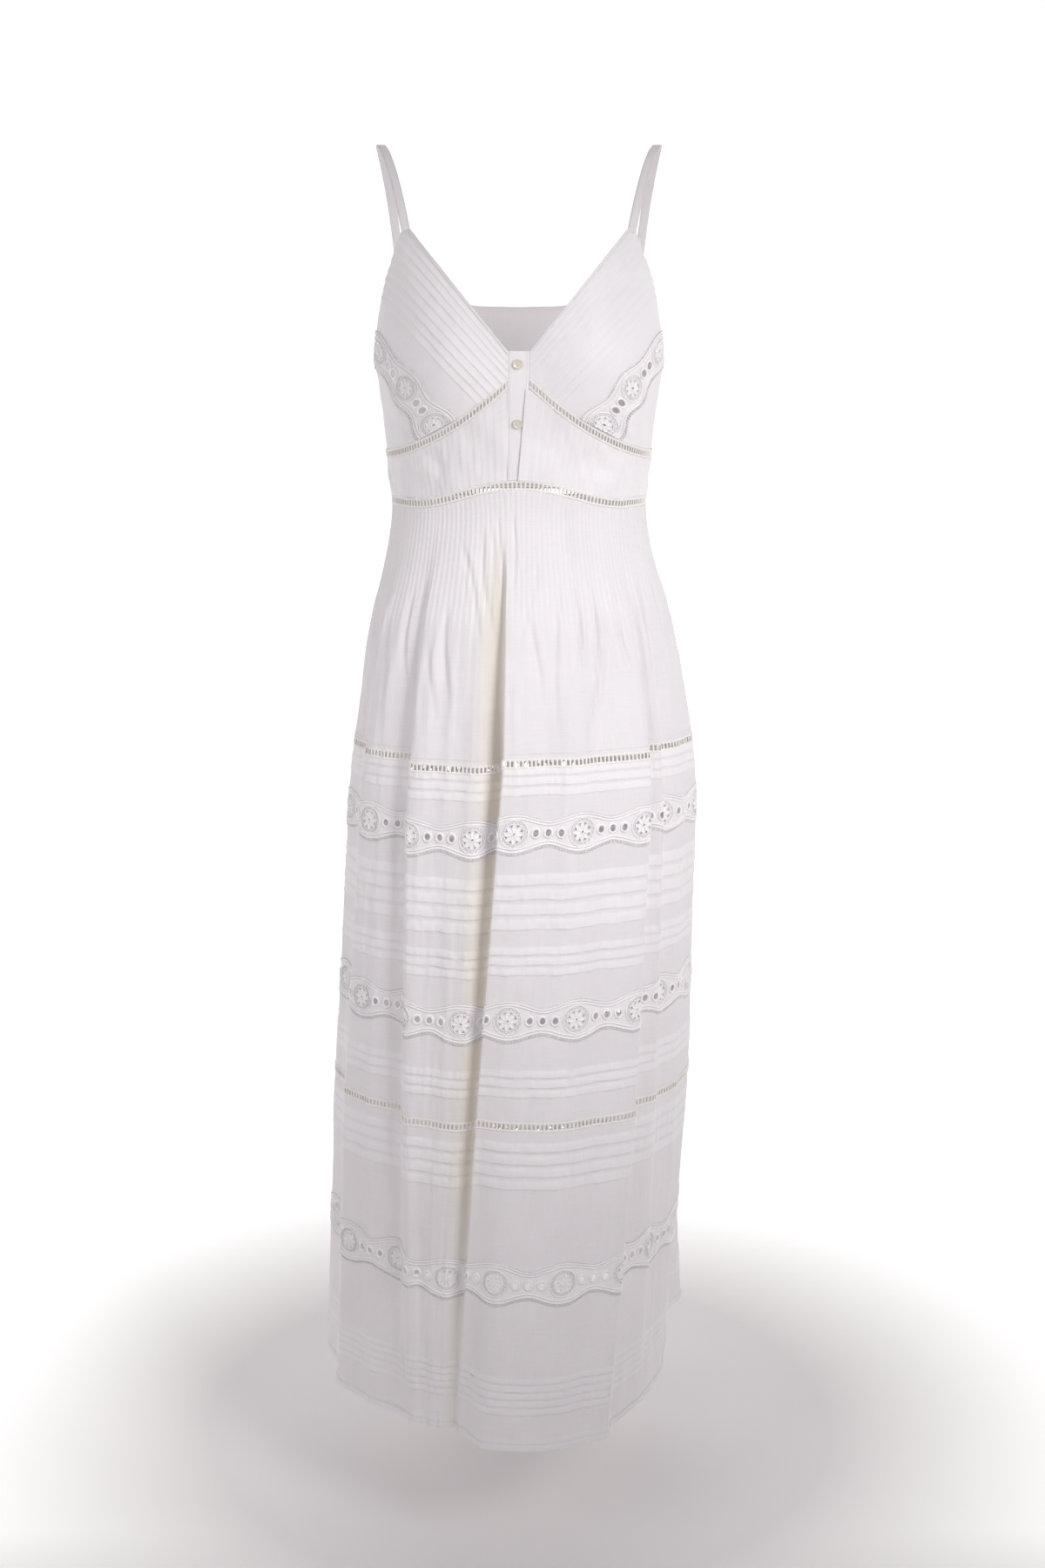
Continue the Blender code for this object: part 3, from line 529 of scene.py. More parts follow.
def ring(angle, level, out=0.0):
    """Points of the form, from angles round the front centre and levels."""
    angle, level = np.broadcast_arrays(np.asarray(angle, float), np.asarray(level, float))
    half_width, ahead, behind, power = form(level)
    sine, cosine = np.sin(np.radians(angle)), np.cos(np.radians(angle))
    depth = np.where(cosine > 0, ahead, behind)
    x = half_width * np.sign(sine) * np.abs(sine) ** (2 / power)
    y = -depth * np.sign(cosine) * np.abs(cosine) ** (2 / power)
    y -= bust(x, level) * ease(cosine * 4)
    sway = HEM_SWAY * clamp((HIP_LEVEL - level) / (HIP_LEVEL - HEM_LEVEL))
    outward = unit(stack(sine / half_width, -cosine / depth, 0))
    return stack(x + sway, y, level) + outward * np.asarray(out)[..., None]


def all_creases():
    """The creases seen in front, and others like them round the sides and the back."""
    draw = random.Random(7)
    creases = list(FRONT_CREASES)
    for number in range(CREASES_BEHIND):
        angle = BEHIND_START + (number + draw.uniform(-0.3, 0.3)) * BEHIND_SPAN / (CREASES_BEHIND - 1)
        level = draw.uniform(*BEHIND_TOPS)
        length = draw.uniform(*BEHIND_LENGTHS)
        creases.append(Crease(angle, level, angle + draw.uniform(-4, 4), level - length,
                              draw.uniform(*BEHIND_DEPTHS), draw.uniform(*BEHIND_WIDTHS)))
    return creases


CREASES = all_creases()


def creased(angle, level):
    """How far the creases move the cloth, in metres: a trough with a low ridge beside it."""
    half_width = form(level)[0]
    moved = np.zeros(np.broadcast(angle, level).shape)
    for crease in CREASES:
        down = (crease.top_level - level) / (crease.top_level - crease.low_level)
        middle = mix(crease.top_angle, crease.low_angle, clamp(down))
        bend = 1.2 * np.sin(down * 5 + crease.top_angle)
        off = np.radians(np.mod(angle - middle - bend + 180, 360) - 180) * half_width * 1000 / crease.width
        fade = ease(down * 5 + 0.4) * ease((1 - down) * 2.2)
        moved += crease.depth * fade * (0.55 * np.exp(-((off - 1.7) / 1.2) ** 2) - np.exp(-off ** 2)) / 1000
    return moved


def ripple(place, level):
    """Small uneven folds of the skirt, in metres."""
    released = below(PINTUCK_END + 0.012, 0.050, level) * (1 - 0.60 * below(PLEATS_CALM, 0.070, level))
    pleats = crumpled(place, level, PLEAT_WAVES, TURN)
    waves = crumpled(place, level, FOLD_WAVES, TURN)
    return RIPPLE * released * pleats + RIPPLE * below(WAVES_START, 0.080, level) * waves


def skirt(place, level, out=0.0):
    """Points of the skirt: place counts fold lines round it, and parts of the way between two."""
    place, level = np.broadcast_arrays(np.asarray(place, float), np.asarray(level, float))
    table = np.array(FOLD_LINES, float)
    table = np.vstack([table, table[0] + (360, 360, 0, 0)])
    inside = np.mod(place, TURN)
    index = np.floor(inside).astype(int)
    share = inside - index
    down = clamp((HIP_LEVEL - level) / (HIP_LEVEL - HEM_LEVEL))
    lines = table[:, 0:2][index], table[:, 0:2][index + 1]
    angles = mix(lines[0], lines[1], share[..., None])
    angle = mix(angles[..., 0], angles[..., 1], down)
    outs = mix(table[:, 2:4][index], table[:, 2:4][index + 1], ease(share)[..., None])
    fullness = below(FOLDS_START, FOLDS_START - HIP_LEVEL, level)
    stand = mix(outs[..., 0], outs[..., 1], down ** FOLD_BEND) * fullness / 1000
    points = ring(angle, level, stand + ripple(inside, level) + creased(angle, level) + out)
    lift_places, lifts = np.array(LIFTS).T
    waist_start, waist_end, hem_start, hem_end = LIFT_FADE
    fade = below(waist_start, waist_start - waist_end, level)
    fade = fade * (1 - below(hem_start, hem_start - hem_end, level))
    points[..., 2] += np.interp(inside, lift_places, lifts) * fade / 1000
    return points


def place_at_angle(angle):
    """The place on the skirt's top at an angle round the front centre."""
    angles = [line.hip_angle for line in FOLD_LINES] + [FOLD_LINES[0].hip_angle + 360]
    turn = angle if angle >= angles[0] else angle + 360
    return float(np.interp(turn, angles, range(TURN + 1)))


def even_places(level, shares):
    """Places at these shares of the cloth's length once round the skirt."""
    fine = np.linspace(0, TURN, 4001)
    walked = walked_along(skirt(fine, level))
    return np.interp(np.asarray(shares) * walked[-1], walked, fine)


def underbust(x):
    """Level of the upper edge of the ladder below the cups."""
    across = np.maximum(np.abs(x) - PLACKET_HALF, 0.0)
    return UNDERBUST_CENTRE + UNDERBUST_SLOPE * across + UNDERBUST_CURVE * across ** 2


def waist(x, in_front=True):
    """Level of the middle of the waist ladder, which arches up at the front."""
    arch = clamp(1 - (x / WAIST_ARCH_HALF) ** 2) ** 2
    return WAIST_LEVEL + WAIST_ARCH * np.where(in_front, arch, 0.0)


def settled(curve, surface, places, start):
    """Levels where a seam curve, given by distance from the centre, meets the columns of a surface."""
    level = np.full(len(places), float(start))
    for _ in range(6):
        spots = surface(places, level)
        level = curve(spots[:, 0], spots[:, 1] < 0)
    return level


def outward(points, closed=False):
    """The direction that faces out at each point of a grid."""
    along = np.gradient(points, axis=1)
    if closed:
        along = np.roll(points, -1, axis=1) - np.roll(points, 1, axis=1)
    normals = unit(np.cross(np.gradient(points, axis=0), along))
    facing = np.sum(normals * points * (1, 1, 0))
    return normals if facing > 0 else -normals


def add_object(name, data):
    added = bpy.data.objects.new(name, data)
    bpy.context.scene.collection.objects.link(added)
    return added


def place_piece(name, mesh, material, nodes=()):
    """Link a finished mesh as a piece that rides with the dress."""
    mesh.materials.append(material)
    mesh.shade_smooth()
    piece = add_object(name, mesh)
    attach(piece, "root")
    if nodes:
        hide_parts(*nodes)
    return piece


def grid_mesh(name, points, closed=False, holes=None, layers=None, valley_shade=None):
    """A mesh from a grid of points, with a map in metres along and down the cloth."""
    rows, columns = points.shape[:2]
    if np.sum(np.cross(np.gradient(points, axis=0), np.gradient(points, axis=1)) * points * (1, 1, 0)) < 0:
        points = points[:, ::-1]
        maps = (holes, layers, valley_shade)
        holes, layers, valley_shade = (part if part is None else part[:, ::-1] for part in maps)
    index = np.arange(rows * columns).reshape(rows, columns)
    wide = np.concatenate([index, index[:, :1]], axis=1) if closed else index
    faces = np.stack([wide[:-1, :-1], wide[1:, :-1], wide[1:, 1:], wide[:-1, 1:]], axis=-1)
    middle = points[rows // 2]
    round_line = np.concatenate([middle, middle[:1]]) if closed else middle
    along = np.broadcast_to(walked_along(round_line), wide.shape)
    drops = np.linalg.norm(np.diff(points, axis=0), axis=2).mean(axis=1)
    down = np.broadcast_to(-np.concatenate([[0.0], np.cumsum(drops)])[:, None], wide.shape)
    spread = np.stack([along, down], axis=-1)
    corners = np.stack([spread[:-1, :-1], spread[1:, :-1], spread[1:, 1:], spread[:-1, 1:]], axis=2)
    if holes is not None:
        faces, corners = faces[~holes], corners[~holes]
    mesh = bpy.data.meshes.new(name)
    mesh.from_pydata(points.reshape(-1, 3).tolist(), [], faces.reshape(-1, 4).tolist())
    chart = mesh.uv_layers.new(name="cloth")
    chart.data.foreach_set("uv", corners.reshape(-1).astype(np.float32))
    # Marks for the folded layers of cloth, and for the painted shade in the deep fold
    for word, values in (("layers", layers), ("valley_shade", valley_shade)):
        if values is not None:
            marks = mesh.attributes.new(word, "FLOAT", "POINT")
            values = np.broadcast_to(values, (rows, columns)).reshape(-1)
            marks.data.foreach_set("value", values.astype(np.float32))
    return mesh


def side_faces(near, far):
    """Four-cornered faces from closed rings of points to the next rings."""
    return np.stack([near, np.roll(near, -1, axis=-1), np.roll(far, -1, axis=-1), far], axis=-1)


def tubes(lines, normals, radius, sides=5, closed=False, flat=1.0):
    """Cords along lines of points, as (points, faces). The arrays are (count, points, 3)."""
    count, length = lines.shape[:2]
    tangent = np.gradient(lines, axis=1)
    if closed:
        tangent = np.roll(lines, -1, axis=1) - np.roll(lines, 1, axis=1)
    side = unit(np.cross(normals, tangent))
    turns = np.arange(sides) * 2 * math.pi / sides
    rim = np.cos(turns)[:, None] * normals[..., None, :] * flat
    rim = rim + np.sin(turns)[:, None] * side[..., None, :]
    points = lines[..., None, :] + rim * radius
    index = np.arange(count * length * sides).reshape(count, length, sides)
    after = np.roll(index, -1, axis=1)
    if not closed:
        index, after = index[:, :-1], after[:, :-1]
    return points.reshape(-1, 3), side_faces(index, after).reshape(-1, 4)


def gathered_mesh(name, parts):
    """One mesh from several (points, faces)."""
    starts = np.cumsum([0] + [len(points) for points, _ in parts])
    points = np.concatenate([points for points, _ in parts])
    faces = [face for (_, group), start in zip(parts, starts) for face in (group + start).tolist()]
    mesh = bpy.data.meshes.new(name)
    mesh.from_pydata(points.tolist(), [], faces)
    return mesh


def stitch_lines(line, normals, pitch=0.0030, closed=False):
    """Stitches along a line of points, as (points, faces)."""
    if closed:
        line, normals = np.concatenate([line, line[:1]]), np.concatenate([normals, normals[:1]])
    walked = walked_along(line)
    count = int(walked[-1] / pitch)
    shares = (np.arange(count)[:, None] + np.array([0.12, 0.5, 0.88])) * pitch
    points = np.stack([np.interp(shares, walked, line[:, axis]) for axis in range(3)], axis=-1)
    facing = unit(np.stack([np.interp(shares, walked, normals[:, axis]) for axis in range(3)], axis=-1))
    points = points + facing * np.array([0.0, 0.00028, 0.0])[None, :, None]
    return tubes(points, facing, 0.00022, sides=4)


def link(tree, source, target):
    tree.links.new(source, target)


def new_node(tree, kind, inputs=(), **settings):
    """A shader node with its settings and input values."""
    node = tree.nodes.new(kind)
    for name, value in settings.items():
        setattr(node, name, value)
    for name, value in dict(inputs).items():
        node.inputs[name].default_value = value
    return node


def math_node(tree, operation, first, second=None, third=None):
    """The output of a maths node. Each input is a number or another node's output."""
    node = tree.nodes.new("ShaderNodeMath")
    node.operation = operation
    for socket, value in zip(node.inputs, (first, second, third)):
        if isinstance(value, (int, float)):
            socket.default_value = value
        elif value is not None:
            link(tree, value, socket)
    return node.outputs[0]


def cloth_material(name, color, thread=0.00055, sheer=0.03, glow=0.07, net=0.0, valley_shade_color=None):
    """Woven cotton: threads, slubs and a soft sheen; sheer cloth lets some light straight through."""
    material = bpy.data.materials.new(name)
    material.use_nodes = True
    tree = material.node_tree
    tree.nodes.clear()
    output = new_node(tree, "ShaderNodeOutputMaterial")
    chart = new_node(tree, "ShaderNodeUVMap", uv_map="cloth")
    axes = new_node(tree, "ShaderNodeSeparateXYZ")
    link(tree, chart.outputs["UV"], axes.inputs[0])

    def threads(axis, size):
        turn = math_node(tree, "MULTIPLY", axes.outputs[axis], 2 * math.pi / size)
        return math_node(tree, "MULTIPLY_ADD", math_node(tree, "SINE", turn), 0.5, 0.5)

    def streaks(stretch_u, stretch_v, detail):
        mapping = new_node(tree, "ShaderNodeMapping", {"Scale": (stretch_u, stretch_v, 1.0)})
        link(tree, chart.outputs["UV"], mapping.inputs["Vector"])
        noise = new_node(tree, "ShaderNodeTexNoise", {"Scale": 1.0, "Detail": detail, "Roughness": 0.6})
        link(tree, mapping.outputs["Vector"], noise.inputs["Vector"])
        return noise.outputs["Fac"]

    weave = math_node(tree, "MULTIPLY", threads(0, thread), threads(1, thread))
    slub_warp, slub_weft = streaks(*SLUB_WARP), streaks(*SLUB_WEFT)
    slubs = math_node(tree, "MULTIPLY", math_node(tree, "ADD", slub_warp, slub_weft), 0.5)
    cloudy = streaks(*CLOUDS)
    crinkles = math_node(tree, "MULTIPLY", streaks(*CRINKLES), CRINKLE_HEIGHT)
    height = math_node(tree, "ADD", math_node(tree, "MULTIPLY", weave, 0.35), slubs)
    height = math_node(tree, "ADD", height, crinkles)
    bump = new_node(tree, "ShaderNodeBump", {"Strength": 0.35, "Distance": 0.0003})
    link(tree, height, bump.inputs["Height"])

    tone = math_node(tree, "MULTIPLY_ADD", slubs, 0.16, 0.92)
    tone = math_node(tree, "MULTIPLY", tone, math_node(tree, "MULTIPLY_ADD", cloudy, 0.09, 0.955))
    # Painted shade: where a shade colour is given, it is mixed in by the mark each point carries for the
    # deep fold
    base = new_node(tree, "ShaderNodeMix", {"Factor": 0.0}, data_type="RGBA")
    base.inputs[6].default_value = (*color, 1)
    base.inputs[7].default_value = (*(valley_shade_color or color), 1)
    if valley_shade_color:
        valley_shade = new_node(tree, "ShaderNodeAttribute", attribute_name="valley_shade")
        link(tree, valley_shade.outputs["Fac"], base.inputs["Factor"])
    shade = new_node(tree, "ShaderNodeVectorMath", operation="SCALE")
    link(tree, base.outputs[2], shade.inputs[0])
    link(tree, tone, shade.inputs["Scale"])

    surface = new_node(tree, "ShaderNodeBsdfPrincipled", {
        "Roughness": 0.82, "Sheen Weight": 0.25, "Sheen Roughness": 0.5, "Specular IOR Level": 0.25})
    link(tree, shade.outputs[0], surface.inputs["Base Color"])
    link(tree, bump.outputs["Normal"], surface.inputs["Normal"])
    through = new_node(tree, "ShaderNodeBsdfTranslucent")
    link(tree, shade.outputs[0], through.inputs["Color"])
    link(tree, bump.outputs["Normal"], through.inputs["Normal"])
    solid = new_node(tree, "ShaderNodeMixShader")
    layers = new_node(tree, "ShaderNodeAttribute", attribute_name="layers")
    single = math_node(tree, "MULTIPLY_ADD", layers.outputs["Fac"], -FOLD_DENSE, 1.0)
    link(tree, math_node(tree, "MULTIPLY", single, glow), solid.inputs["Fac"])
    link(tree, surface.outputs[0], solid.inputs[1])
    link(tree, through.outputs[0], solid.inputs[2])

    open_share = math_node(tree, "MULTIPLY", single, sheer)
    gaps = math_node(tree, "MULTIPLY_ADD", slubs, -1.1, 1.55)
    open_share = math_node(tree, "MULTIPLY", open_share, gaps)
    if net:
        mesh_u, mesh_v = threads(0, net), threads(1, net)
        holes = math_node(tree, "SUBTRACT", math_node(tree, "MULTIPLY", mesh_u, mesh_v), NET_THREADS)
        holes = math_node(tree, "MULTIPLY", holes, NET_EDGE)
        holes = math_node(tree, "MINIMUM", math_node(tree, "MAXIMUM", holes, 0.0), NET_OPEN)
        open_share = math_node(tree, "MAXIMUM", open_share, holes)
    clear = new_node(tree, "ShaderNodeBsdfTransparent")
    whole = new_node(tree, "ShaderNodeMixShader")
    link(tree, open_share, whole.inputs["Fac"])
    link(tree, solid.outputs[0], whole.inputs[1])
    link(tree, clear.outputs[0], whole.inputs[2])
    link(tree, whole.outputs[0], output.inputs["Surface"])
    return material


def grained_material(name, dark, pale, finish, grain, bump_depth=0.0):
    """A finish whose colour wanders between two, with fine turns where it has a bump."""
    material = bpy.data.materials.new(name)
    material.use_nodes = True
    tree = material.node_tree
    surface = tree.nodes["Principled BSDF"]
    for socket, value in finish.items():
        surface.inputs[socket].default_value = value
    place = new_node(tree, "ShaderNodeTexCoord")
    noise = new_node(tree, "ShaderNodeTexNoise", grain)
    link(tree, place.outputs["Object"], noise.inputs["Vector"])
    ramp = new_node(tree, "ShaderNodeValToRGB")
    for stop, color in zip(ramp.color_ramp.elements, (dark, pale)):
        stop.color = (*color, 1)
    link(tree, noise.outputs["Fac"], ramp.inputs["Fac"])
    link(tree, ramp.outputs["Color"], surface.inputs["Base Color"])
    if bump_depth:
        bump = new_node(tree, "ShaderNodeBump", {"Strength": 0.5, "Distance": bump_depth})
        link(tree, noise.outputs["Fac"], bump.inputs["Height"])
        link(tree, bump.outputs["Normal"], surface.inputs["Normal"])
    return material


def cord_material(name, color):
    """Twisted cotton yarn and satin stitch."""
    dark = [0.86 * part for part in color]
    finish = {"Roughness": 0.7, "Sheen Weight": 0.3}
    return grained_material(name, dark, color, finish, {"Scale": 900.0, "Detail": 2.0}, 0.0002)


WHITE = (0.885, 0.85, 0.87)
# Cream painted shade for the deep fold left of the centre
VALLEY_SHADE_CREAM = (0.82, 0.765, 0.68)
voile = cloth_material("white_voile", WHITE, sheer=0.05, glow=0.12, valley_shade_color=VALLEY_SHADE_CREAM)
bodice_voile = cloth_material("bodice_voile", WHITE, sheer=0.02, glow=0.04)
lace_ground = cloth_material(
    "lace_net", (0.895, 0.86, 0.88), thread=0.0009, sheer=0.02, glow=0.05, net=LACE_CELL)
ladder_cloth = cloth_material("ladder_cloth", (0.90, 0.86, 0.825), thread=0.0006, sheer=0.0, glow=0.03)
lace_cord = cord_material("lace_cord", (0.99, 0.96, 0.975))
thread_white = cord_material("sewing_thread", (0.88, 0.85, 0.86))
button_ivory = grained_material(
    "button_ivory", (0.62, 0.56, 0.44), (0.86, 0.82, 0.72), {"Roughness": 0.28, "Coat Weight": 0.3},
    {"Scale": 160.0, "Detail": 3.0, "Distortion": 1.5})


def flat_size(points, closed=False):
    """Length round and height of a grid of cloth, as cut."""
    middle = points[len(points) // 2]
    if closed:
        middle = np.concatenate([middle, middle[:1]])
    heights = np.linalg.norm(np.diff(points, axis=0), axis=2).sum(axis=0)
    return float(walked_along(middle)[-1]), float(heights.mean())


def cloth_piece(name, points, nodes, layers, valley_shade=None, closed=False):
    """A piece of voile from its grid. Its size as cut is worked out but not used."""
    mesh = grid_mesh(name, points, closed=closed, layers=layers, valley_shade=valley_shade)
    material = voile if closed else bodice_voile
    piece = place_piece(name, mesh, material, nodes)
    flat_size(points, closed)


def stitches_piece(name, parts):
    """Lines of stitches on a piece, as one object."""
    return place_piece(name, gathered_mesh(name, parts), thread_white)


def row_line(points, row, out, closed=False):
    """A line that follows one row of a grid, moved out, with its directions."""
    normals = outward(points, closed)
    return points[row] + normals[row] * out, normals[row]


def column_line(points, column, out):
    normals = outward(points)
    return points[:, column] + normals[:, column] * out, normals[:, column]


def tuck_rows(edge, pitch, out):
    """Rows of one tuck, top to bottom: level, how far out, whether folded there, and the tuck's edge."""
    cover = pitch * TUCK_COVER
    return [
        (edge + cover + 0.0004, 0.0, 0.0, edge),
        (edge + cover, 0.0002, 1.0, edge),
        (edge + cover * 0.5, out * 0.60, 1.0, edge),
        (edge + 0.0008, out, 1.0, edge),
        (edge, out * 0.85, 1.0, edge),
        (edge - 0.0003, out * 0.20, 0.6, edge),
        (edge - 0.0016, 0.0, 0.0, edge),
    ]


def tier_rows(tier):
    """Rows of a tier, top to bottom, with its tucks, plain cloth and hem."""
    rows = []
    level = tier.top - SEAM / 2
    for first_edge, count, pitch in tier.tuck_groups:
        for number in range(count):
            tuck = tuck_rows(first_edge - number * pitch, pitch, TUCK_OUT)
            while level > tuck[0][0] + 0.0012:
                rows.append((level, 0.0, 0.0, 0.0))
                level -= min(PLAIN_ROW, max((level - tuck[0][0]) / 2, 0.0012))
            rows += tuck
            level = tuck[-1][0] - 0.002
    bottom = tier.bottom + SEAM / 2
    stop = bottom + (HEM_BAND if tier.bottom == HEM_LEVEL else 0.0)
    count = max(int((level - stop) / PLAIN_ROW), 1)
    rows += [(mix(level, stop, step / count), 0.0, 0.0, 0.0) for step in range(count + 1)]
    if tier.bottom == HEM_LEVEL:
        rows += [(stop - 0.0003, 0.0004, 1.0, 0.0), (mix(stop, bottom, 0.5), 0.0006, 1.0, 0.0),
                 (bottom, 0.0004, 1.0, 0.0)]
    return rows


class LaceRun:
    """One band of lace round the skirt, measured along its middle."""

    def __init__(self, band):
        self.name = band.name
        self.middle = (band.top + band.bottom) / 2
        self.wide = (band.top - band.bottom) / 2 + SCALLOP_PROUD
        self.narrow = self.wide * SCALLOP_NARROW
        self.places = place_at_angle(0) - TURN + np.linspace(0, TURN, 6001)
        self.walked = walked_along(skirt(self.places, self.middle))
        self.length = self.walked[-1]
        self.repeats = round(self.length / LACE_REPEAT)
        self.repeat = self.length / self.repeats
        self.shift = band.shift

    def along(self, place):
        """Distance from a medallion's middle to these places."""
        inside = self.places[0] + np.mod(place - self.places[0], TURN)
        return np.interp(inside, self.places, self.walked) - self.shift

    def half(self, along):
        """Half the width of the scalloped band."""
        wave = 0.5 + 0.5 * np.cos(2 * math.pi * along / self.repeat)
        return mix(self.narrow, self.wide, wave ** 0.85)

    def skin(self, along, up, out=0.0):
        inside = np.mod(along + self.shift, self.length)
        place = np.interp(inside, self.walked, self.places)
        return skirt(place, self.middle + up, out)


def lace_holes(repeat, rings, radius):
    """Open places in one repeat of lace: middle along, half width and half height."""
    first = radius + MEDALLION_MARGIN
    ring_cell = (repeat - 2 * first) / rings
    holes = [(first + (number + 0.5) * ring_cell, *RING_HOLE) for number in range(rings)]
    return holes + [(0.0, radius - MEDALLION_RIM, radius - MEDALLION_RIM)]


def petal_path(turn, reach, width):
    """One petal of a medallion, from the hub out to the rim."""
    steps = np.linspace(0, 2 * math.pi, PETAL_POINTS, endpoint=False)
    swell = 0.5 - 0.5 * np.cos(steps)
    outwards = PETAL_START + reach * swell
    across = width * np.sin(steps) * (0.62 + 0.38 * swell)
    sine, cosine = math.sin(turn), math.cos(turn)
    return np.stack([outwards * sine + across * cosine, outwards * cosine - across * sine], axis=-1)


def ring_path(half_width, half_height, steps, depth=0.0, waves=0):
    """A closed path. With waves it runs in and out, which leaves small gaps on both sides."""
    turns = np.linspace(0, 2 * math.pi, steps, endpoint=False)
    wave = depth * np.cos(turns * waves)
    return np.stack([(half_width + wave) * np.sin(turns), (half_height + wave) * np.cos(turns)], axis=-1)


def lace_piece(name, skin, half, length, repeat, repeats, nodes, closed=True, start=0.0,
               rings=LACE_RINGS, radius=MEDALLION_RADIUS):
    """Lace on a skin: a net ground with its rings and medallions open, and cords worked on it."""
    holes = lace_holes(repeat, rings, radius)
    columns = round(length / LACE_CELL)
    end = start + length
    along = np.linspace(start, end, columns, endpoint=not closed)[None, :] * np.ones((LACE_ROWS, 1))
    up = half(along) * np.linspace(1, -1, LACE_ROWS)[:, None]
    inner = np.zeros(along.shape, bool)
    for middle, half_width, half_height in holes:
        near = np.round((along - middle) / repeat) * repeat + middle
        reach = np.sqrt(((along - near) / half_width) ** 2 + (up / half_height) ** 2)
        snap = HOLE_SNAP / min(half_width, half_height)
        pull = np.where(np.abs(reach - 1) < snap, 1 / np.maximum(reach, 1e-6), 1.0)
        pull = np.where(np.abs(up) < half(along) - EDGE_MARGIN, pull, 1.0)
        along = near + (along - near) * pull
        up = up * pull
        inner |= reach * pull < 1.0005
    points = skin(along, up)
    wide = np.concatenate([inner, inner[:, :1]], axis=1) if closed else inner
    cut = wide[:-1, :-1] & wide[1:, :-1] & wide[1:, 1:] & wide[:-1, 1:]
    mesh = grid_mesh(name, points, closed=closed, holes=cut)
    ground = place_piece(name, mesh, lace_ground, nodes)

    def lay(paths, thick, sides, closed_path=True, out=0.0004):
        """Cords on the skin, a little flat, along paths of (along, up)."""
        step = 0.0004
        spots = skin(paths[..., 0], paths[..., 1], out)
        across = skin(paths[..., 0] + step, paths[..., 1]) - skin(paths[..., 0] - step, paths[..., 1])
        upward = skin(paths[..., 0], paths[..., 1] + step) - skin(paths[..., 0], paths[..., 1] - step)
        normals = unit(np.cross(across, upward))
        facing = np.sum(normals * spots * (1, 1, 0), axis=-1, keepdims=True)
        return tubes(spots, normals * np.sign(facing), thick, sides, closed_path, flat=0.8)

    def repeated(path, middle=0.0):
        starts = np.arange(repeats) * repeat + middle
        starts = starts[closed | (starts < end)]
        return path[None] + np.stack([starts, np.zeros(len(starts))], axis=-1)[:, None, :]

    parts = []
    for middle, half_width, half_height in holes[:rings]:
        path = ring_path(half_width + HOLE_CORD_OUT, half_height + HOLE_CORD_OUT, 16)
        parts.append(lay(repeated(path, middle), HOLE_CORD, 6))
    for cord in MEDALLION_CORDS:
        reach = cord.share * radius - cord.inset
        path = ring_path(reach, reach, cord.points, cord.depth, cord.waves)
        parts.append(lay(repeated(path), cord.thick, cord.sides))
    for petal in range(PETALS):
        turn = 2 * math.pi * petal / PETALS
        path = petal_path(turn, radius - PETAL_INSET, PETAL_WIDTH * radius / MEDALLION_RADIUS)
        parts.append(lay(repeated(path), PETAL_CORD, 4))
        spots = skin(*np.moveaxis(repeated(path), -1, 0), 0.0002)
        index = np.arange(spots.shape[0] * spots.shape[1]).reshape(spots.shape[:2])
        pairs = [index[:, [k, k + 1, -k - 2, -k - 1]] for k in range(PETAL_POINTS // 2 - 1)]
        parts.append((spots.reshape(-1, 3), np.concatenate(pairs)))
    edge_along = np.linspace(start, end, round(length / EDGE_STEP), endpoint=not closed)
    for sign in (1, -1):
        for inset, thick in EDGE_CORDS:
            path = np.stack([edge_along, sign * (half(edge_along) - inset)], axis=-1)[None]
            parts.append(lay(path, thick, 5, closed))
    count = int(length / PICOT_PITCH)
    starts = start + (np.arange(count) + 0.5) * length / count
    turns = np.linspace(-0.12, 1.12, 6) * math.pi
    loop_along = starts[:, None] - np.cos(turns) * PICOT_PITCH * PICOT_HALF
    for sign, reach in ((-1, PICOT_LENGTH), (1, PICOT_LENGTH_ABOVE)):
        loop_up = sign * (half(loop_along) + np.maximum(np.sin(turns), -0.2) * reach)
        parts.append(lay(np.stack([loop_along, loop_up], axis=-1), PICOT_CORD, 3, False, out=0.0006))
    cords = place_piece(name + "_cords", gathered_mesh(name + "_cords", parts), lace_cord)
    area = sum(face.area for face in mesh.polygons)
    width = 2 * float(half(along[0]).mean())


def ladder_piece(name, spots, fine, closed, nodes, measured_at=0.0):
    """Openwork between two narrow rails. The spots take places along it and metres down."""
    walked = walked_along(spots(fine, measured_at))
    length = walked[-1]
    rungs = round(length / RUNG_PITCH)
    shares = (np.arange(rungs)[:, None] + np.array([0.0, HOLE_SHARE, mix(HOLE_SHARE, 1, 0.5)])) / rungs
    shares = shares.reshape(-1)
    if not closed:
        shares = np.append(shares, 1.0)
    places = np.interp(shares * length, walked, fine)
    points = np.array([spots(places, drop / 1000) for drop in LADDER_ROWS])
    normals = outward(points, closed)
    raised = np.array(LADDER_OUT)[:, None] * np.ones_like(shares)[None, :]
    raised[3:5, 2::3] = 0.45
    points = points + normals * raised[..., None] / 1000
    holes = np.zeros((len(LADDER_ROWS) - 1, len(shares) - (0 if closed else 1)), bool)
    holes[3, 0::3] = True
    mesh = grid_mesh(name, points, closed=closed, holes=holes)
    piece = place_piece(name, mesh, ladder_cloth, nodes)
    mesh.shade_flat()
    thick = piece.modifiers.new("thickness", "SOLIDIFY")
    thick.thickness = LADDER_THICK
    thick.offset = 0.0


def path_point(points, share):
    """A point at a share of the length of a path of straight runs."""
    points = np.array(points)
    walked = walked_along(points)
    return np.stack([np.interp(share * walked[-1], walked, points[:, axis]) for axis in range(2)], axis=-1)


def above_ladder(x):
    """A point of the seam above the ladder below the cups, as distance from the centre and level."""
    return x, float(underbust(x)) + CURVED_SEAM


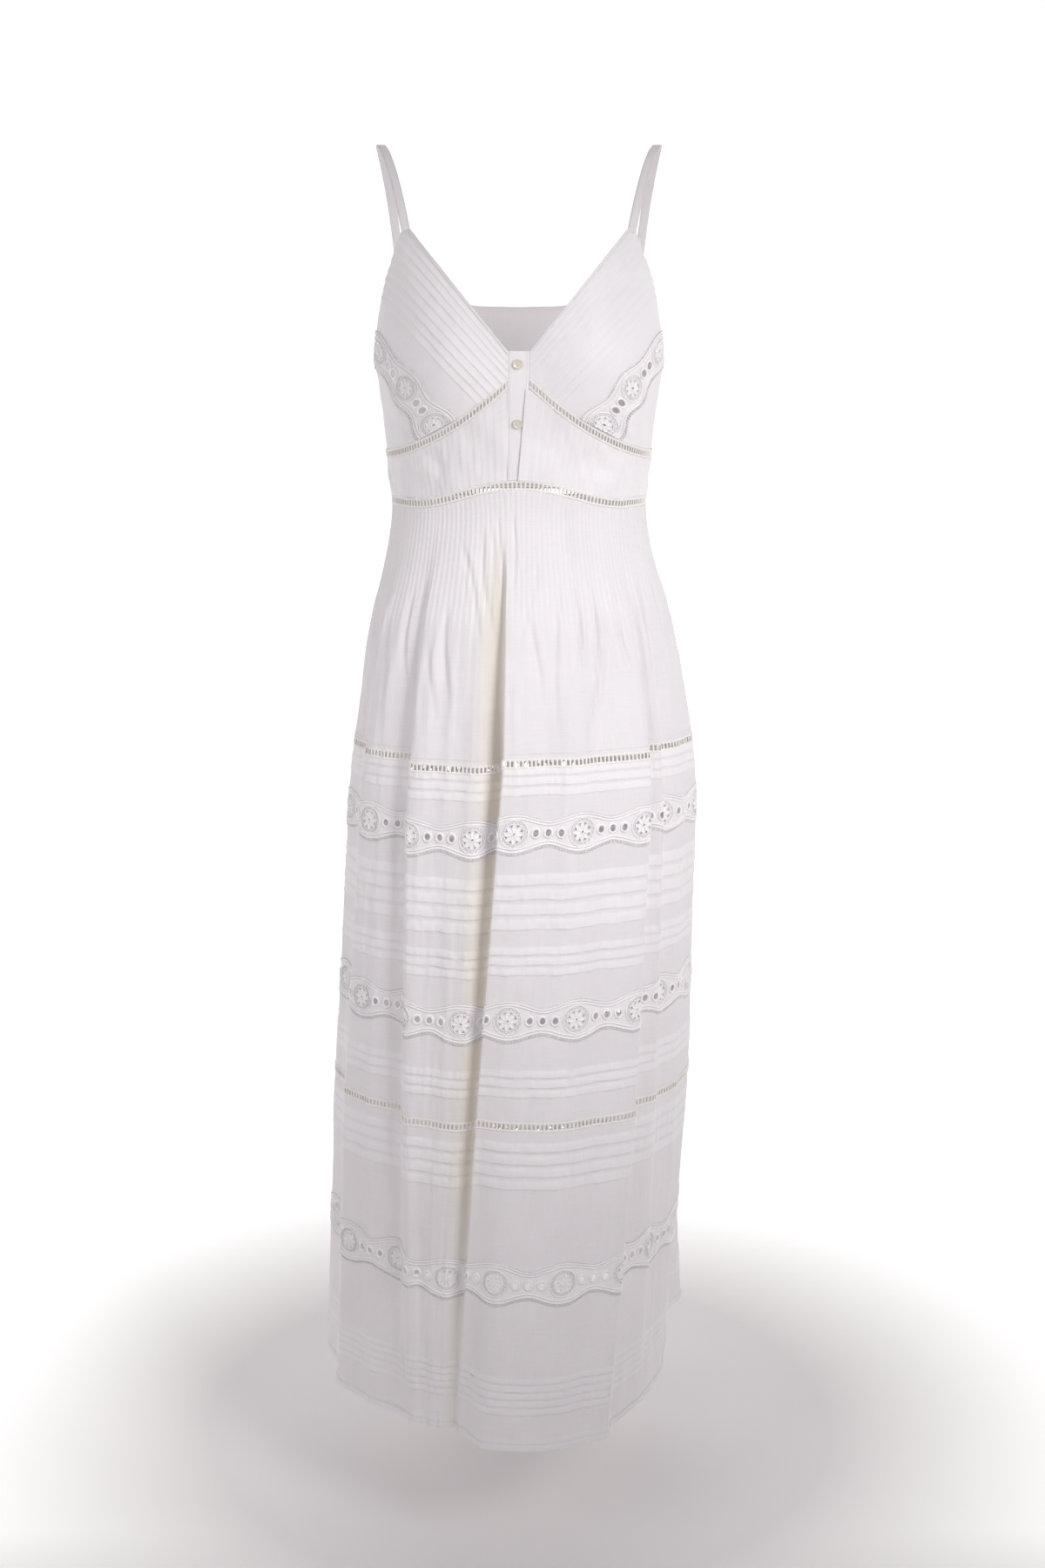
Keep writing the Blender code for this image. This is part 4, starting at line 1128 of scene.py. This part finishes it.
def build_cup(side, word):
    """A cup: a bound neckline, and pintucks beside it down to the lace."""
    lace_in = (LACE_UPPER_IN, above_ladder(LACE_UPPER_IN)[1] + SEAM)
    lace_out = (LACE_UPPER_OUT[0], LACE_UPPER_OUT[1] + SEAM)
    outer_path = [(CUP_TOP_INNER, CUP_TOP), (CUP_TOP_OUTER, CUP_TOP), CUP_ARMHOLE, lace_out]
    centre = PLACKET_HALF + CURVED_SEAM
    seam = [mix(centre, LACE_UPPER_IN, step / 10) for step in range(10)]
    inner_path = [(centre, PLACKET_TOP)] + [above_ladder(x) for x in seam] + [lace_in]

    rows = list(CUP_BINDING_ROWS)
    for number in range(CUP_TUCKS):
        edge = mix(CUP_BINDING, CUP_TUCKS_END, (number + 1) / CUP_TUCKS)
        rows += [(edge + row.share, row.out, row.folded) for row in CUP_TUCK_ROWS]
    rows += [(mix(CUP_TUCKS_END + 0.02, 1.0, step / 8), 0.0, 0.0) for step in range(9)]
    rows += [(1 + UNDER_LACE / 2, 0.0, 0.0), (1 + UNDER_LACE, 0.0, 0.0)]
    shares, moves, layers = np.array(rows).T
    along = np.linspace(0, 1, 72)
    start, end = path_point(outer_path, shares), path_point(inner_path, shares)
    lower_in = np.array(above_ladder(LACE_LOWER_IN))
    under = mix(np.array(LACE_LOWER_OUT) - lace_out, lower_in - lace_in, along[None, :, None])
    flat = mix(start[:, None], end[:, None], along[None, :, None])
    flat = flat + np.maximum(shares - 1, 0)[:, None, None] * under
    points = front(side * flat[..., 0], flat[..., 1])
    normals = outward(points)
    waves = [Waves(0.0007, 70, 60, 11 + side), Waves(0.0002, 260, 180, 12)]
    crumple = crumpled(flat[..., 0], flat[..., 1], waves)
    points = points + normals * (moves[:, None] + crumple + 0.0002)[..., None]
    spread = np.broadcast_to(layers[:, None], points.shape[:2])
    sewn = stitches_piece(f"cup_{word}_stitches", [
        stitch_lines(*row_line(points, 2, 0.0001)),
        stitch_lines(*row_line(points, 1, 0.0001))])
    cloth_piece(f"cup_{word}_cloth", points, [f"cup_{word}"],
                spread)


def build_cup_lace(side, word):
    """Lace from the armhole down to the ladder, over the edge of the cup and the side."""
    upper_in, lower_in = np.array(above_ladder(LACE_UPPER_IN)), np.array(above_ladder(LACE_LOWER_IN))
    upper_out, lower_out = np.array(LACE_UPPER_OUT), np.array(LACE_LOWER_OUT)
    length = float(np.linalg.norm((upper_in + lower_in - upper_out - lower_out) / 2))
    half_width = float(np.linalg.norm(upper_out - lower_out + upper_in - lower_in) / 4)

    def skin(along, up, out=0.0):
        share = clamp(along / length + CUP_LACE_START)
        across = 0.5 + up / (2 * half_width)
        first = mix(lower_out, upper_out, across[..., None])
        last = mix(lower_in, upper_in, across[..., None])
        flat = mix(first, last, share[..., None])
        points = front(side * flat[..., 0], flat[..., 1])
        lean = unit(points * (1, 1, 0))
        return points + lean * np.asarray(out + CUP_LACE_OUT)[..., None]

    repeat = length * CUP_LACE_REPEAT

    def half(along):
        wave = 0.5 + 0.5 * np.cos(2 * math.pi * along / repeat)
        return half_width * mix(*CUP_SCALLOP, wave)

    lace_piece(f"cup_lace_{word}_net", skin, half, length, repeat, 3, [f"cup_lace_{word}"], closed=False,
               start=-CUP_LACE_START * length, rings=CUP_RINGS,
               radius=CUP_MEDALLION)


def front_angles(side, level, shares):
    """Angles round the front at a level, at shares of the way from the placket to the side seam."""
    x = placket_edge(side, level)
    half_width, _, _, power = form(np.asarray(level, float))
    across = np.minimum(np.abs(x) / half_width, 1.0) ** (power / 2)
    inner = side * np.sign(x) * np.degrees(np.arcsin(across)) + CURVED_SEAM
    return side * mix(inner, SIDE_SEAM, shares)


def placket_edge(side, level):
    """The placket's edge: the right one slants in under the right front towards the waist."""
    if side < 0:
        return np.full_like(np.asarray(level, float), -PLACKET_HALF)
    share = clamp((UNDERBUST_CENTRE - level) / (UNDERBUST_CENTRE - WAIST_LEVEL))
    return mix(PLACKET_HALF, PLACKET_WAIST_RIGHT, share)


def build_midriff(side, word):
    """The front below the cups, with fine upright tucks."""
    shares, raised, folded = tucked(MIDRIFF_TUCKS, MIDRIFF_STOPS)
    shares, raised, folded = np.append(shares, 1.0), np.append(raised, 0.0), np.append(folded, 0.0)
    rows = []
    for down in np.linspace(0, 1, 30):
        def seam(x, _front, down=down):
            return mix(underbust(x) - LADDER - CURVED_SEAM, waist(x) + LADDER / 2 + CURVED_SEAM, down)

        start = float(seam(0.0, True))
        angles = front_angles(side, start, shares)
        if side > 0:
            angles = angles - LIP_ANGLE * np.exp(-shares * 60)
        level = settled(seam, ring, angles, start)
        rows.append(ring(angles, level))
    points = np.array(rows)
    normals = outward(points)
    spread = shares[None, :] * np.ones((len(rows), 1))
    down = np.linspace(0, 1, len(rows))[:, None]
    waves = [Waves(0.0017, 15, 2.2, 21 + side, 1.0), Waves(0.0008, 38, 4, 23 + side, -1.0)]
    crumple = crumpled(spread, down, waves) * np.sin(np.pi * clamp(down * 0.9 + 0.05)) ** 0.5
    lip = LIP_RAISE * np.exp(-spread * 22) if side > 0 else 0.0
    points = points + normals * (raised * MIDRIFF_TUCK_OUT + crumple + lip)[..., None]
    cloth_piece(f"midriff_{word}_cloth", points, [f"midriff_{word}"],
                folded[None, :] * np.ones((len(rows), 1)))


def build_underbust(side, word):
    """The openwork seam under a cup."""
    def spots(angles, drop):
        return ring(angles, settled(lambda x, _front: underbust(x) - drop, ring, angles, UNDERBUST_CENTRE))

    fine = front_angles(side, float(underbust(0.0)), np.linspace(0, 1, 240))
    ladder_piece(f"underbust_{word}_openwork", spots, fine, False, [f"underbust_ladder_{word}"])


def build_waist():
    """The openwork round the waist, measured along its middle."""
    def spots(places, drop):
        level = settled(waist, skirt, places, WAIST_LEVEL)
        return skirt(places, level - (drop - LADDER / 2))

    ladder_piece("waist_openwork", spots, np.linspace(0, TURN, 2400), True, ["waist_ladder"],
                 LADDER / 2)


def build_skirt_ladder(name, top):
    ladder_piece(f"{name}_openwork", lambda places, drop: skirt(places, top - drop),
                 np.linspace(0, TURN, 4000), True, [name])


def valley_painted_shade(places, level):
    """Where the deep fold left of the centre lies, as a mask for the cream painted shade laid into it."""
    # Painted shade: cream, deepest in the middle of the fold, from just below the waist, fainter lower down
    depth = np.exp(-((np.mod(places, TURN) - VALLEY_PLACE) / VALLEY_WIDTH) ** 2)
    return depth * below(VALLEY_TOP, 0.10, level) * (1 - 0.6 * below(VALLEY_PALER, 0.25, level))


def build_yoke():
    """The skirt's upper part: pintucks below the waist, let out into soft pleats."""
    shares, raised, folded = tucked(PINTUCKS, PINTUCK_STOPS)
    places = even_places(PINTUCK_END, shares)
    top = settled(waist, skirt, places, WAIST_LEVEL) - LADDER / 2 - CURVED_SEAM
    bottom = HIP_LADDER_TOP + SEAM / 2
    down = np.linspace(0, 1, YOKE_ROWS)[:, None]
    level = mix(top[None, :], bottom, down)
    numbers = np.repeat(np.arange(PINTUCKS), len(PINTUCK_STOPS))
    ends = PINTUCK_END + PINTUCK_UNEVEN * cloth_noise(numbers * 0.5, 0 * places, 31)
    held = 1 - below(ends[None, :], PINTUCK_FADE, level)
    points = skirt(places[None, :] * np.ones_like(down), level, raised * PINTUCK_OUT * held)
    seam = stitch_lines(*row_line(points, -2, 0.0002, True), closed=True)
    sewn = stitches_piece("skirt_yoke_stitches", [seam])
    # The deep fold gets its cream painted shade
    cloth_piece("skirt_yoke_cloth", points, ["skirt_yoke"],
                folded[None, :] * held, valley_painted_shade(places[None, :], level), True)


def build_tier(tier, runs, places):
    """A tier of the skirt, whose edges follow the scallops of the lace beside it."""
    nominal, moves, layers, edges = (values[:, None] for values in np.array(tier_rows(tier)).T)
    level = nominal * np.ones_like(places)[None, :]
    if tier.lace_above:
        run = runs[tier.lace_above]
        shift = run.middle - run.half(run.along(places)) - tier.top
        level = level + shift * clamp(1 - (tier.top - nominal) / LACE_REACH)
    if tier.lace_below:
        run = runs[tier.lace_below]
        shift = run.middle + run.half(run.along(places)) - tier.bottom
        level = level + shift * clamp(1 - (nominal - tier.bottom) / LACE_REACH)
    spread = np.broadcast_to(places[None, :], level.shape)
    pucker = cloth_noise(spread * 12, nominal * 90, 41, TURN * 12) * PUCKER
    uneven = cloth_noise(spread * 3, edges * 200, 43, TURN * 3) * TUCK_UNEVEN * (edges < 0)
    points = skirt(spread, level + uneven, moves * mix(0.85, 1.1, layers) + pucker * (0.3 + layers))
    extras = []
    if tier.bottom == HEM_LEVEL:
        seam = stitch_lines(*row_line(points, -3, 0.0002, True), closed=True)
        extras = [stitches_piece("hem_stitches", [seam])]
    # The deep fold gets its cream painted shade
    cloth_piece(f"{tier.name}_cloth", points, [tier.name],
                np.broadcast_to(layers, level.shape), valley_painted_shade(spread, nominal), True)


def build_back():
    """The back, round both sides to the cup lace, with a bound top edge."""
    lower_in = above_ladder(LACE_LOWER_IN)

    def lace_edge(x):
        share = (x - lower_in[0]) / (LACE_LOWER_OUT[0] - lower_in[0])
        return mix(lower_in[1], LACE_LOWER_OUT[1] - SEAM, share) - SEAM

    angles, tops = [], []
    for x in np.linspace(SIDE_PANEL_START, LACE_LOWER_OUT[0], 14):
        half_width, _, _, power = form(np.array(lace_edge(x)))
        angles.append(float(np.degrees(np.arcsin(min(x / half_width, 1.0) ** (power / 2)))))
        near_armhole = (x - SIDE_PANEL_START) / (LACE_LOWER_OUT[0] - SIDE_PANEL_START)
        tops.append(float(lace_edge(x)) + SIDE_UNDER_LACE * (1 - near_armhole ** 4))
    table = np.array(BACK_TOP)
    back_angles = np.linspace(table[0][0], 180, 90)
    angles = np.array(angles + back_angles.tolist())
    tops = np.array(tops + np.interp(back_angles, *table.T).tolist())
    back_bottom = WAIST_LEVEL + LADDER / 2 + CURVED_SEAM
    front_bottom = settled(lambda x, _front: underbust(x), ring, angles, WAIST_LEVEL) + CURVED_SEAM
    bottoms = np.where(angles < 91.0, front_bottom, back_bottom)
    angles = np.concatenate([angles, 360 - angles[-2::-1]])
    tops = np.concatenate([tops, tops[-2::-1]])
    bottoms = np.concatenate([bottoms, bottoms[-2::-1]])
    down = np.concatenate([[0.0, 0.004, 0.035, 0.040], np.linspace(0.07, 1, 30)])[:, None]
    bound = np.concatenate([[0.3, 1.0, 1.0, 0.1], np.zeros(30)])[:, None]
    points = ring(angles[None, :] * np.ones_like(down), mix(tops[None, :], bottoms[None, :], down))
    normals = outward(points)
    spread = angles[None, :] * np.ones_like(down)
    soft = crumpled(spread, down, BACK_WAVES) * ease(down * 5) * ease((1 - down) * 5)
    points = points + normals * (bound * 0.0006 + soft)[..., None]
    sewn = stitches_piece("back_stitches", [stitch_lines(*row_line(points, 2, 0.0002))])
    cloth_piece("back_bodice_cloth", points, ["back_bodice"],
                bound * np.ones_like(angles)[None, :])


def build_placket():
    """The button placket, with a line of stitches down each edge."""
    bottom = float(waist(0.0)) + LADDER / 2 + CURVED_SEAM
    shares = np.linspace(0, 1, 60)
    across, raised = np.array(PLACKET_COLUMNS).T
    raised = raised / 1000
    level = mix(PLACKET_TOP, bottom, shares)
    left, right = placket_edge(-1, level) - 2 * CURVED_SEAM, placket_edge(1, level)
    x = mix(left[:, None], right[:, None], across[None, :])
    points = front(x, level[:, None] * np.ones_like(across)[None, :])
    crumple = 0.0003 * cloth_noise(x * 160, level[:, None] * 110, 61)
    points = points + outward(points) * (raised[None, :] + crumple)[..., None]
    sewn = stitches_piece("placket_stitches", [
        stitch_lines(*column_line(points, 2, 0.0001)),
        stitch_lines(*column_line(points, 6, 0.0001))])
    cloth_piece("placket_cloth", points, ["placket"],
                np.ones(points.shape[:2]))


def strap_route(side):
    """The middle line of a strap, on a smooth curve, with the directions that face off the shoulder."""
    first = front((CUP_TOP_INNER + CUP_TOP_OUTER) / 2, CUP_TOP) + (0, 0.0007, -0.0035)
    last = ring(STRAP_BACK_ANGLE, STRAP_BACK_LEVEL) + (0, -0.0009, -0.0050)
    knots = np.array([first, *STRAP_ROUTE, last])
    ends = np.concatenate([[2 * knots[0] - knots[1]], knots, [2 * knots[-1] - knots[-2]]])
    line = []
    for a, b, c, d in zip(ends, ends[1:], ends[2:], ends[3:]):
        for t in np.arange(9) / 9:
            line.append(0.5 * (2 * b + (c - a) * t + (2 * a - 5 * b + 4 * c - d) * t ** 2
                               + (3 * b - a - 3 * c + d) * t ** 3))
    line = np.array(line + [knots[-1]])
    along = unit(np.gradient(line, axis=0))
    wide = np.broadcast_to((1.0, 0.0, 0.0), line.shape)
    facing = unit(np.cross(along, wide))
    facing = facing * np.sign(np.sum(facing * (line - (0.12, 0.0, -0.12)), axis=1, keepdims=True))
    return line * (side, 1, 1), facing * (side, 1, 1)


def build_strap(side, word):
    """A flat strap sewn double, with stitches along both edges."""
    line, facing = strap_route(side)
    turns = np.linspace(0, 2 * math.pi, STRAP_SIDES, endpoint=False)
    squash = np.abs(np.cos(turns)) ** 0.35 * np.sign(np.cos(turns)) * STRAP_WIDTH / 2
    rise = np.sin(turns) * STRAP_THICK / 2 * (1 - 0.25 * np.cos(2 * turns))
    wide = np.array((1.0, 0.0, 0.0))
    points = line[:, None] + squash[None, :, None] * wide + rise[None, :, None] * facing[:, None]
    index = np.arange(len(line) * STRAP_SIDES).reshape(-1, STRAP_SIDES)
    after = np.roll(index, -1, axis=1)
    faces = np.stack([index[:-1], index[1:], after[1:], after[:-1]], axis=-1)
    mesh = bpy.data.meshes.new(f"strap_{word}_band")
    caps = [index[0].tolist(), index[-1][::-1].tolist()]
    mesh.from_pydata(points.reshape(-1, 3).tolist(), [], faces.reshape(-1, 4).tolist() + caps)
    walked = np.repeat(walked_along(line), STRAP_SIDES)
    chart = mesh.uv_layers.new(name="cloth")
    spread = np.tile(squash, len(line))
    for loop in mesh.loops:
        chart.data[loop.index].uv = (spread[loop.vertex_index], walked[loop.vertex_index])
    marks = mesh.attributes.new("layers", "FLOAT", "POINT")
    marks.data.foreach_set("value", np.ones(len(mesh.vertices), np.float32))
    parts = []
    for edge in (-STRAP_SEAM, STRAP_SEAM):
        seam = line + facing * STRAP_THICK * 0.52 + wide * edge * STRAP_WIDTH
        parts.append(stitch_lines(seam, facing, STRAP_STITCH))
    sewn = stitches_piece(f"strap_{word}_stitches", parts)
    piece = place_piece(f"strap_{word}_band", mesh, voile, [f"strap_{word}"])


def build_button(name, level):
    """A round button with a dished face, four holes and crossed thread."""
    seat = Vector(front(BUTTON_X, level))
    slope = Vector(front(BUTTON_X, level + 0.01) - front(BUTTON_X, level - 0.01))
    axis = Vector((0, -slope.z, slope.y)).normalized()
    turn = Vector((0, 0, 1)).rotation_difference(axis)
    seat += axis * BUTTON_LIFT
    turns = np.linspace(0, 2 * math.pi, BUTTON_STEPS, endpoint=False)
    radii, heights = np.array(BUTTON_PROFILE).T[..., None]
    radii = radii * BUTTON_RADIUS
    spots = stack(radii * np.cos(turns), radii * np.sin(turns), heights)
    index = np.arange(len(radii) * BUTTON_STEPS).reshape(-1, BUTTON_STEPS)
    faces = side_faces(index[:-1], index[1:])
    turn_matrix = np.array(turn.to_matrix())

    def placed(points):
        return points.reshape(-1, 3) @ turn_matrix.T + np.array(seat)

    mesh = gathered_mesh(name + "_disc", [(placed(spots), faces.reshape(-1, 4))])
    place_piece(name + "_disc", mesh, button_ivory, [name])
    sides = (-BUTTON_HOLE, BUTTON_HOLE)
    hole_spots = np.array([(x, y) for x in sides for y in sides])
    strands = []
    for first, last in ((0, 3), (1, 2)):
        a, b = hole_spots[first], hole_spots[last]
        shares = np.linspace(0, 1, 7)[:, None]
        line = np.concatenate([mix(a, b, shares), 0.00105 + 0.0006 * np.sin(np.pi * shares)], axis=1)
        strands.append(placed(line))
    lines = np.array(strands)
    facing = np.broadcast_to(np.array(axis), lines.shape)
    stitches_piece(name + "_thread", [tubes(lines, facing, THREAD_RADIUS)])


def build_dress():
    for side, word in ((-1, "left"), (1, "right")):
        build_strap(side, word)
        build_cup(side, word)
        build_cup_lace(side, word)
        build_underbust(side, word)
        build_midriff(side, word)
    build_placket()
    for name, level in BUTTON_LEVELS.items():
        build_button(name, level)
    build_back()
    build_waist()
    build_yoke()
    build_skirt_ladder("hip_ladder", HIP_LADDER_TOP)
    build_skirt_ladder("lower_ladder", LOWER_LADDER_TOP)
    runs = {band.name: LaceRun(band) for band in LACE_BANDS}
    places = even_places(COLUMNS_LEVEL, np.arange(SKIRT_COLUMNS) / SKIRT_COLUMNS)
    for tier in TIERS:
        build_tier(tier, runs, places)
    for run in runs.values():
        lace_piece(f"{run.name}_net", run.skin, run.half, run.length, run.repeat, run.repeats,
                   [f"{run.name}_front", f"{run.name}_back"])


def build_stage():
    """A pale floor that curves up into a pale wall, glowing from a little in front of the dress backwards,
    with a painted shadow round the dress's foot where the glow fades out.
    """
    steps = [(SWEEP_FRONT, 0.0), (SWEEP_BEHIND, 0.0)]
    for turn in np.linspace(0, math.pi / 2, 13):
        steps.append((SWEEP_BEHIND + math.sin(turn), 1 - math.cos(turn)))
    steps.append((SWEEP_BEHIND + 1, SWEEP_TOP))
    points = np.array([[(x, y, FLOOR_LEVEL + z) for x in (-SWEEP_HALF, SWEEP_HALF)] for y, z in steps])
    mesh = bpy.data.meshes.new("studio_sweep")
    index = np.arange(len(points) * 2).reshape(-1, 2)
    faces = np.stack([index[:-1, 0], index[:-1, 1], index[1:, 1], index[1:, 0]], -1)
    mesh.from_pydata(points.reshape(-1, 3).tolist(), [], faces.tolist())
    mesh.shade_smooth()
    sweep = add_object("studio_sweep", mesh)
    material = bpy.data.materials.new("studio_paper")
    material.use_nodes = True
    tree = material.node_tree
    surface = tree.nodes["Principled BSDF"]
    surface.inputs["Base Color"].default_value = (0.93, 0.90, 0.90, 1)
    surface.inputs["Roughness"].default_value = 0.9
    surface.inputs["Emission Color"].default_value = (1, 1, 1, 1)
    place = new_node(tree, "ShaderNodeTexCoord")
    axes = new_node(tree, "ShaderNodeSeparateXYZ")
    link(tree, place.outputs["Object"], axes.inputs[0])
    # Painted shadow: the glow is taken away in a soft round pool under the dress, whole again some 0.8 m
    # out
    from_middle = math_node(tree, "ADD", axes.outputs[1], -0.1)
    squares = math_node(tree, "MULTIPLY", from_middle, from_middle)
    squares = math_node(tree, "MULTIPLY_ADD", axes.outputs[0], axes.outputs[0], squares)
    painted_shadow_pool = math_node(tree, "MULTIPLY_ADD", math_node(tree, "SQRT", squares), 2.2, -0.8)
    behind = math_node(tree, "MULTIPLY_ADD", axes.outputs[1], 5.0, 1.75)
    for share in (painted_shadow_pool, behind):
        share.node.use_clamp = True
    lit = math_node(tree, "MULTIPLY", math_node(tree, "MULTIPLY", painted_shadow_pool, behind), FLOOR_GLOW)
    link(tree, lit, surface.inputs["Emission Strength"])
    mesh.materials.append(material)


def build_light(lamp):
    light = bpy.data.lights.new(lamp.name, "AREA")
    light.shape = "RECTANGLE"
    light.size = lamp.size
    light.size_y = lamp.size
    light.energy = lamp.power
    light.spread = math.radians(lamp.spread)
    holder = add_object(lamp.name, light)
    holder.location = lamp.spot
    holder.rotation_euler = (Vector(lamp.aim) - Vector(lamp.spot)).to_track_quat("-Z", "Y").to_euler()


def build_camera():
    camera = bpy.data.cameras.new("camera")
    camera.sensor_width = 36
    camera.lens = CAMERA_LENS
    camera.clip_start = 0.05
    holder = add_object("camera", camera)
    holder.location = CAMERA_SPOT
    holder.rotation_euler = (math.radians(90 - CAMERA_PITCH), 0, 0)
    bpy.context.scene.camera = holder


def build_studio():
    build_stage()
    for lamp in LAMPS:
        build_light(lamp)
    world = bpy.data.worlds.new("soft_daylight")
    world.use_nodes = True
    sky = world.node_tree.nodes["Background"]
    sky.inputs["Color"].default_value = (1.0, 0.99, 1.0, 1)
    sky.inputs["Strength"].default_value = SKY_STRENGTH
    bpy.context.scene.world = world
    bpy.context.scene.view_settings.view_transform = "Standard"


build_dress()
build_studio()
build_camera()
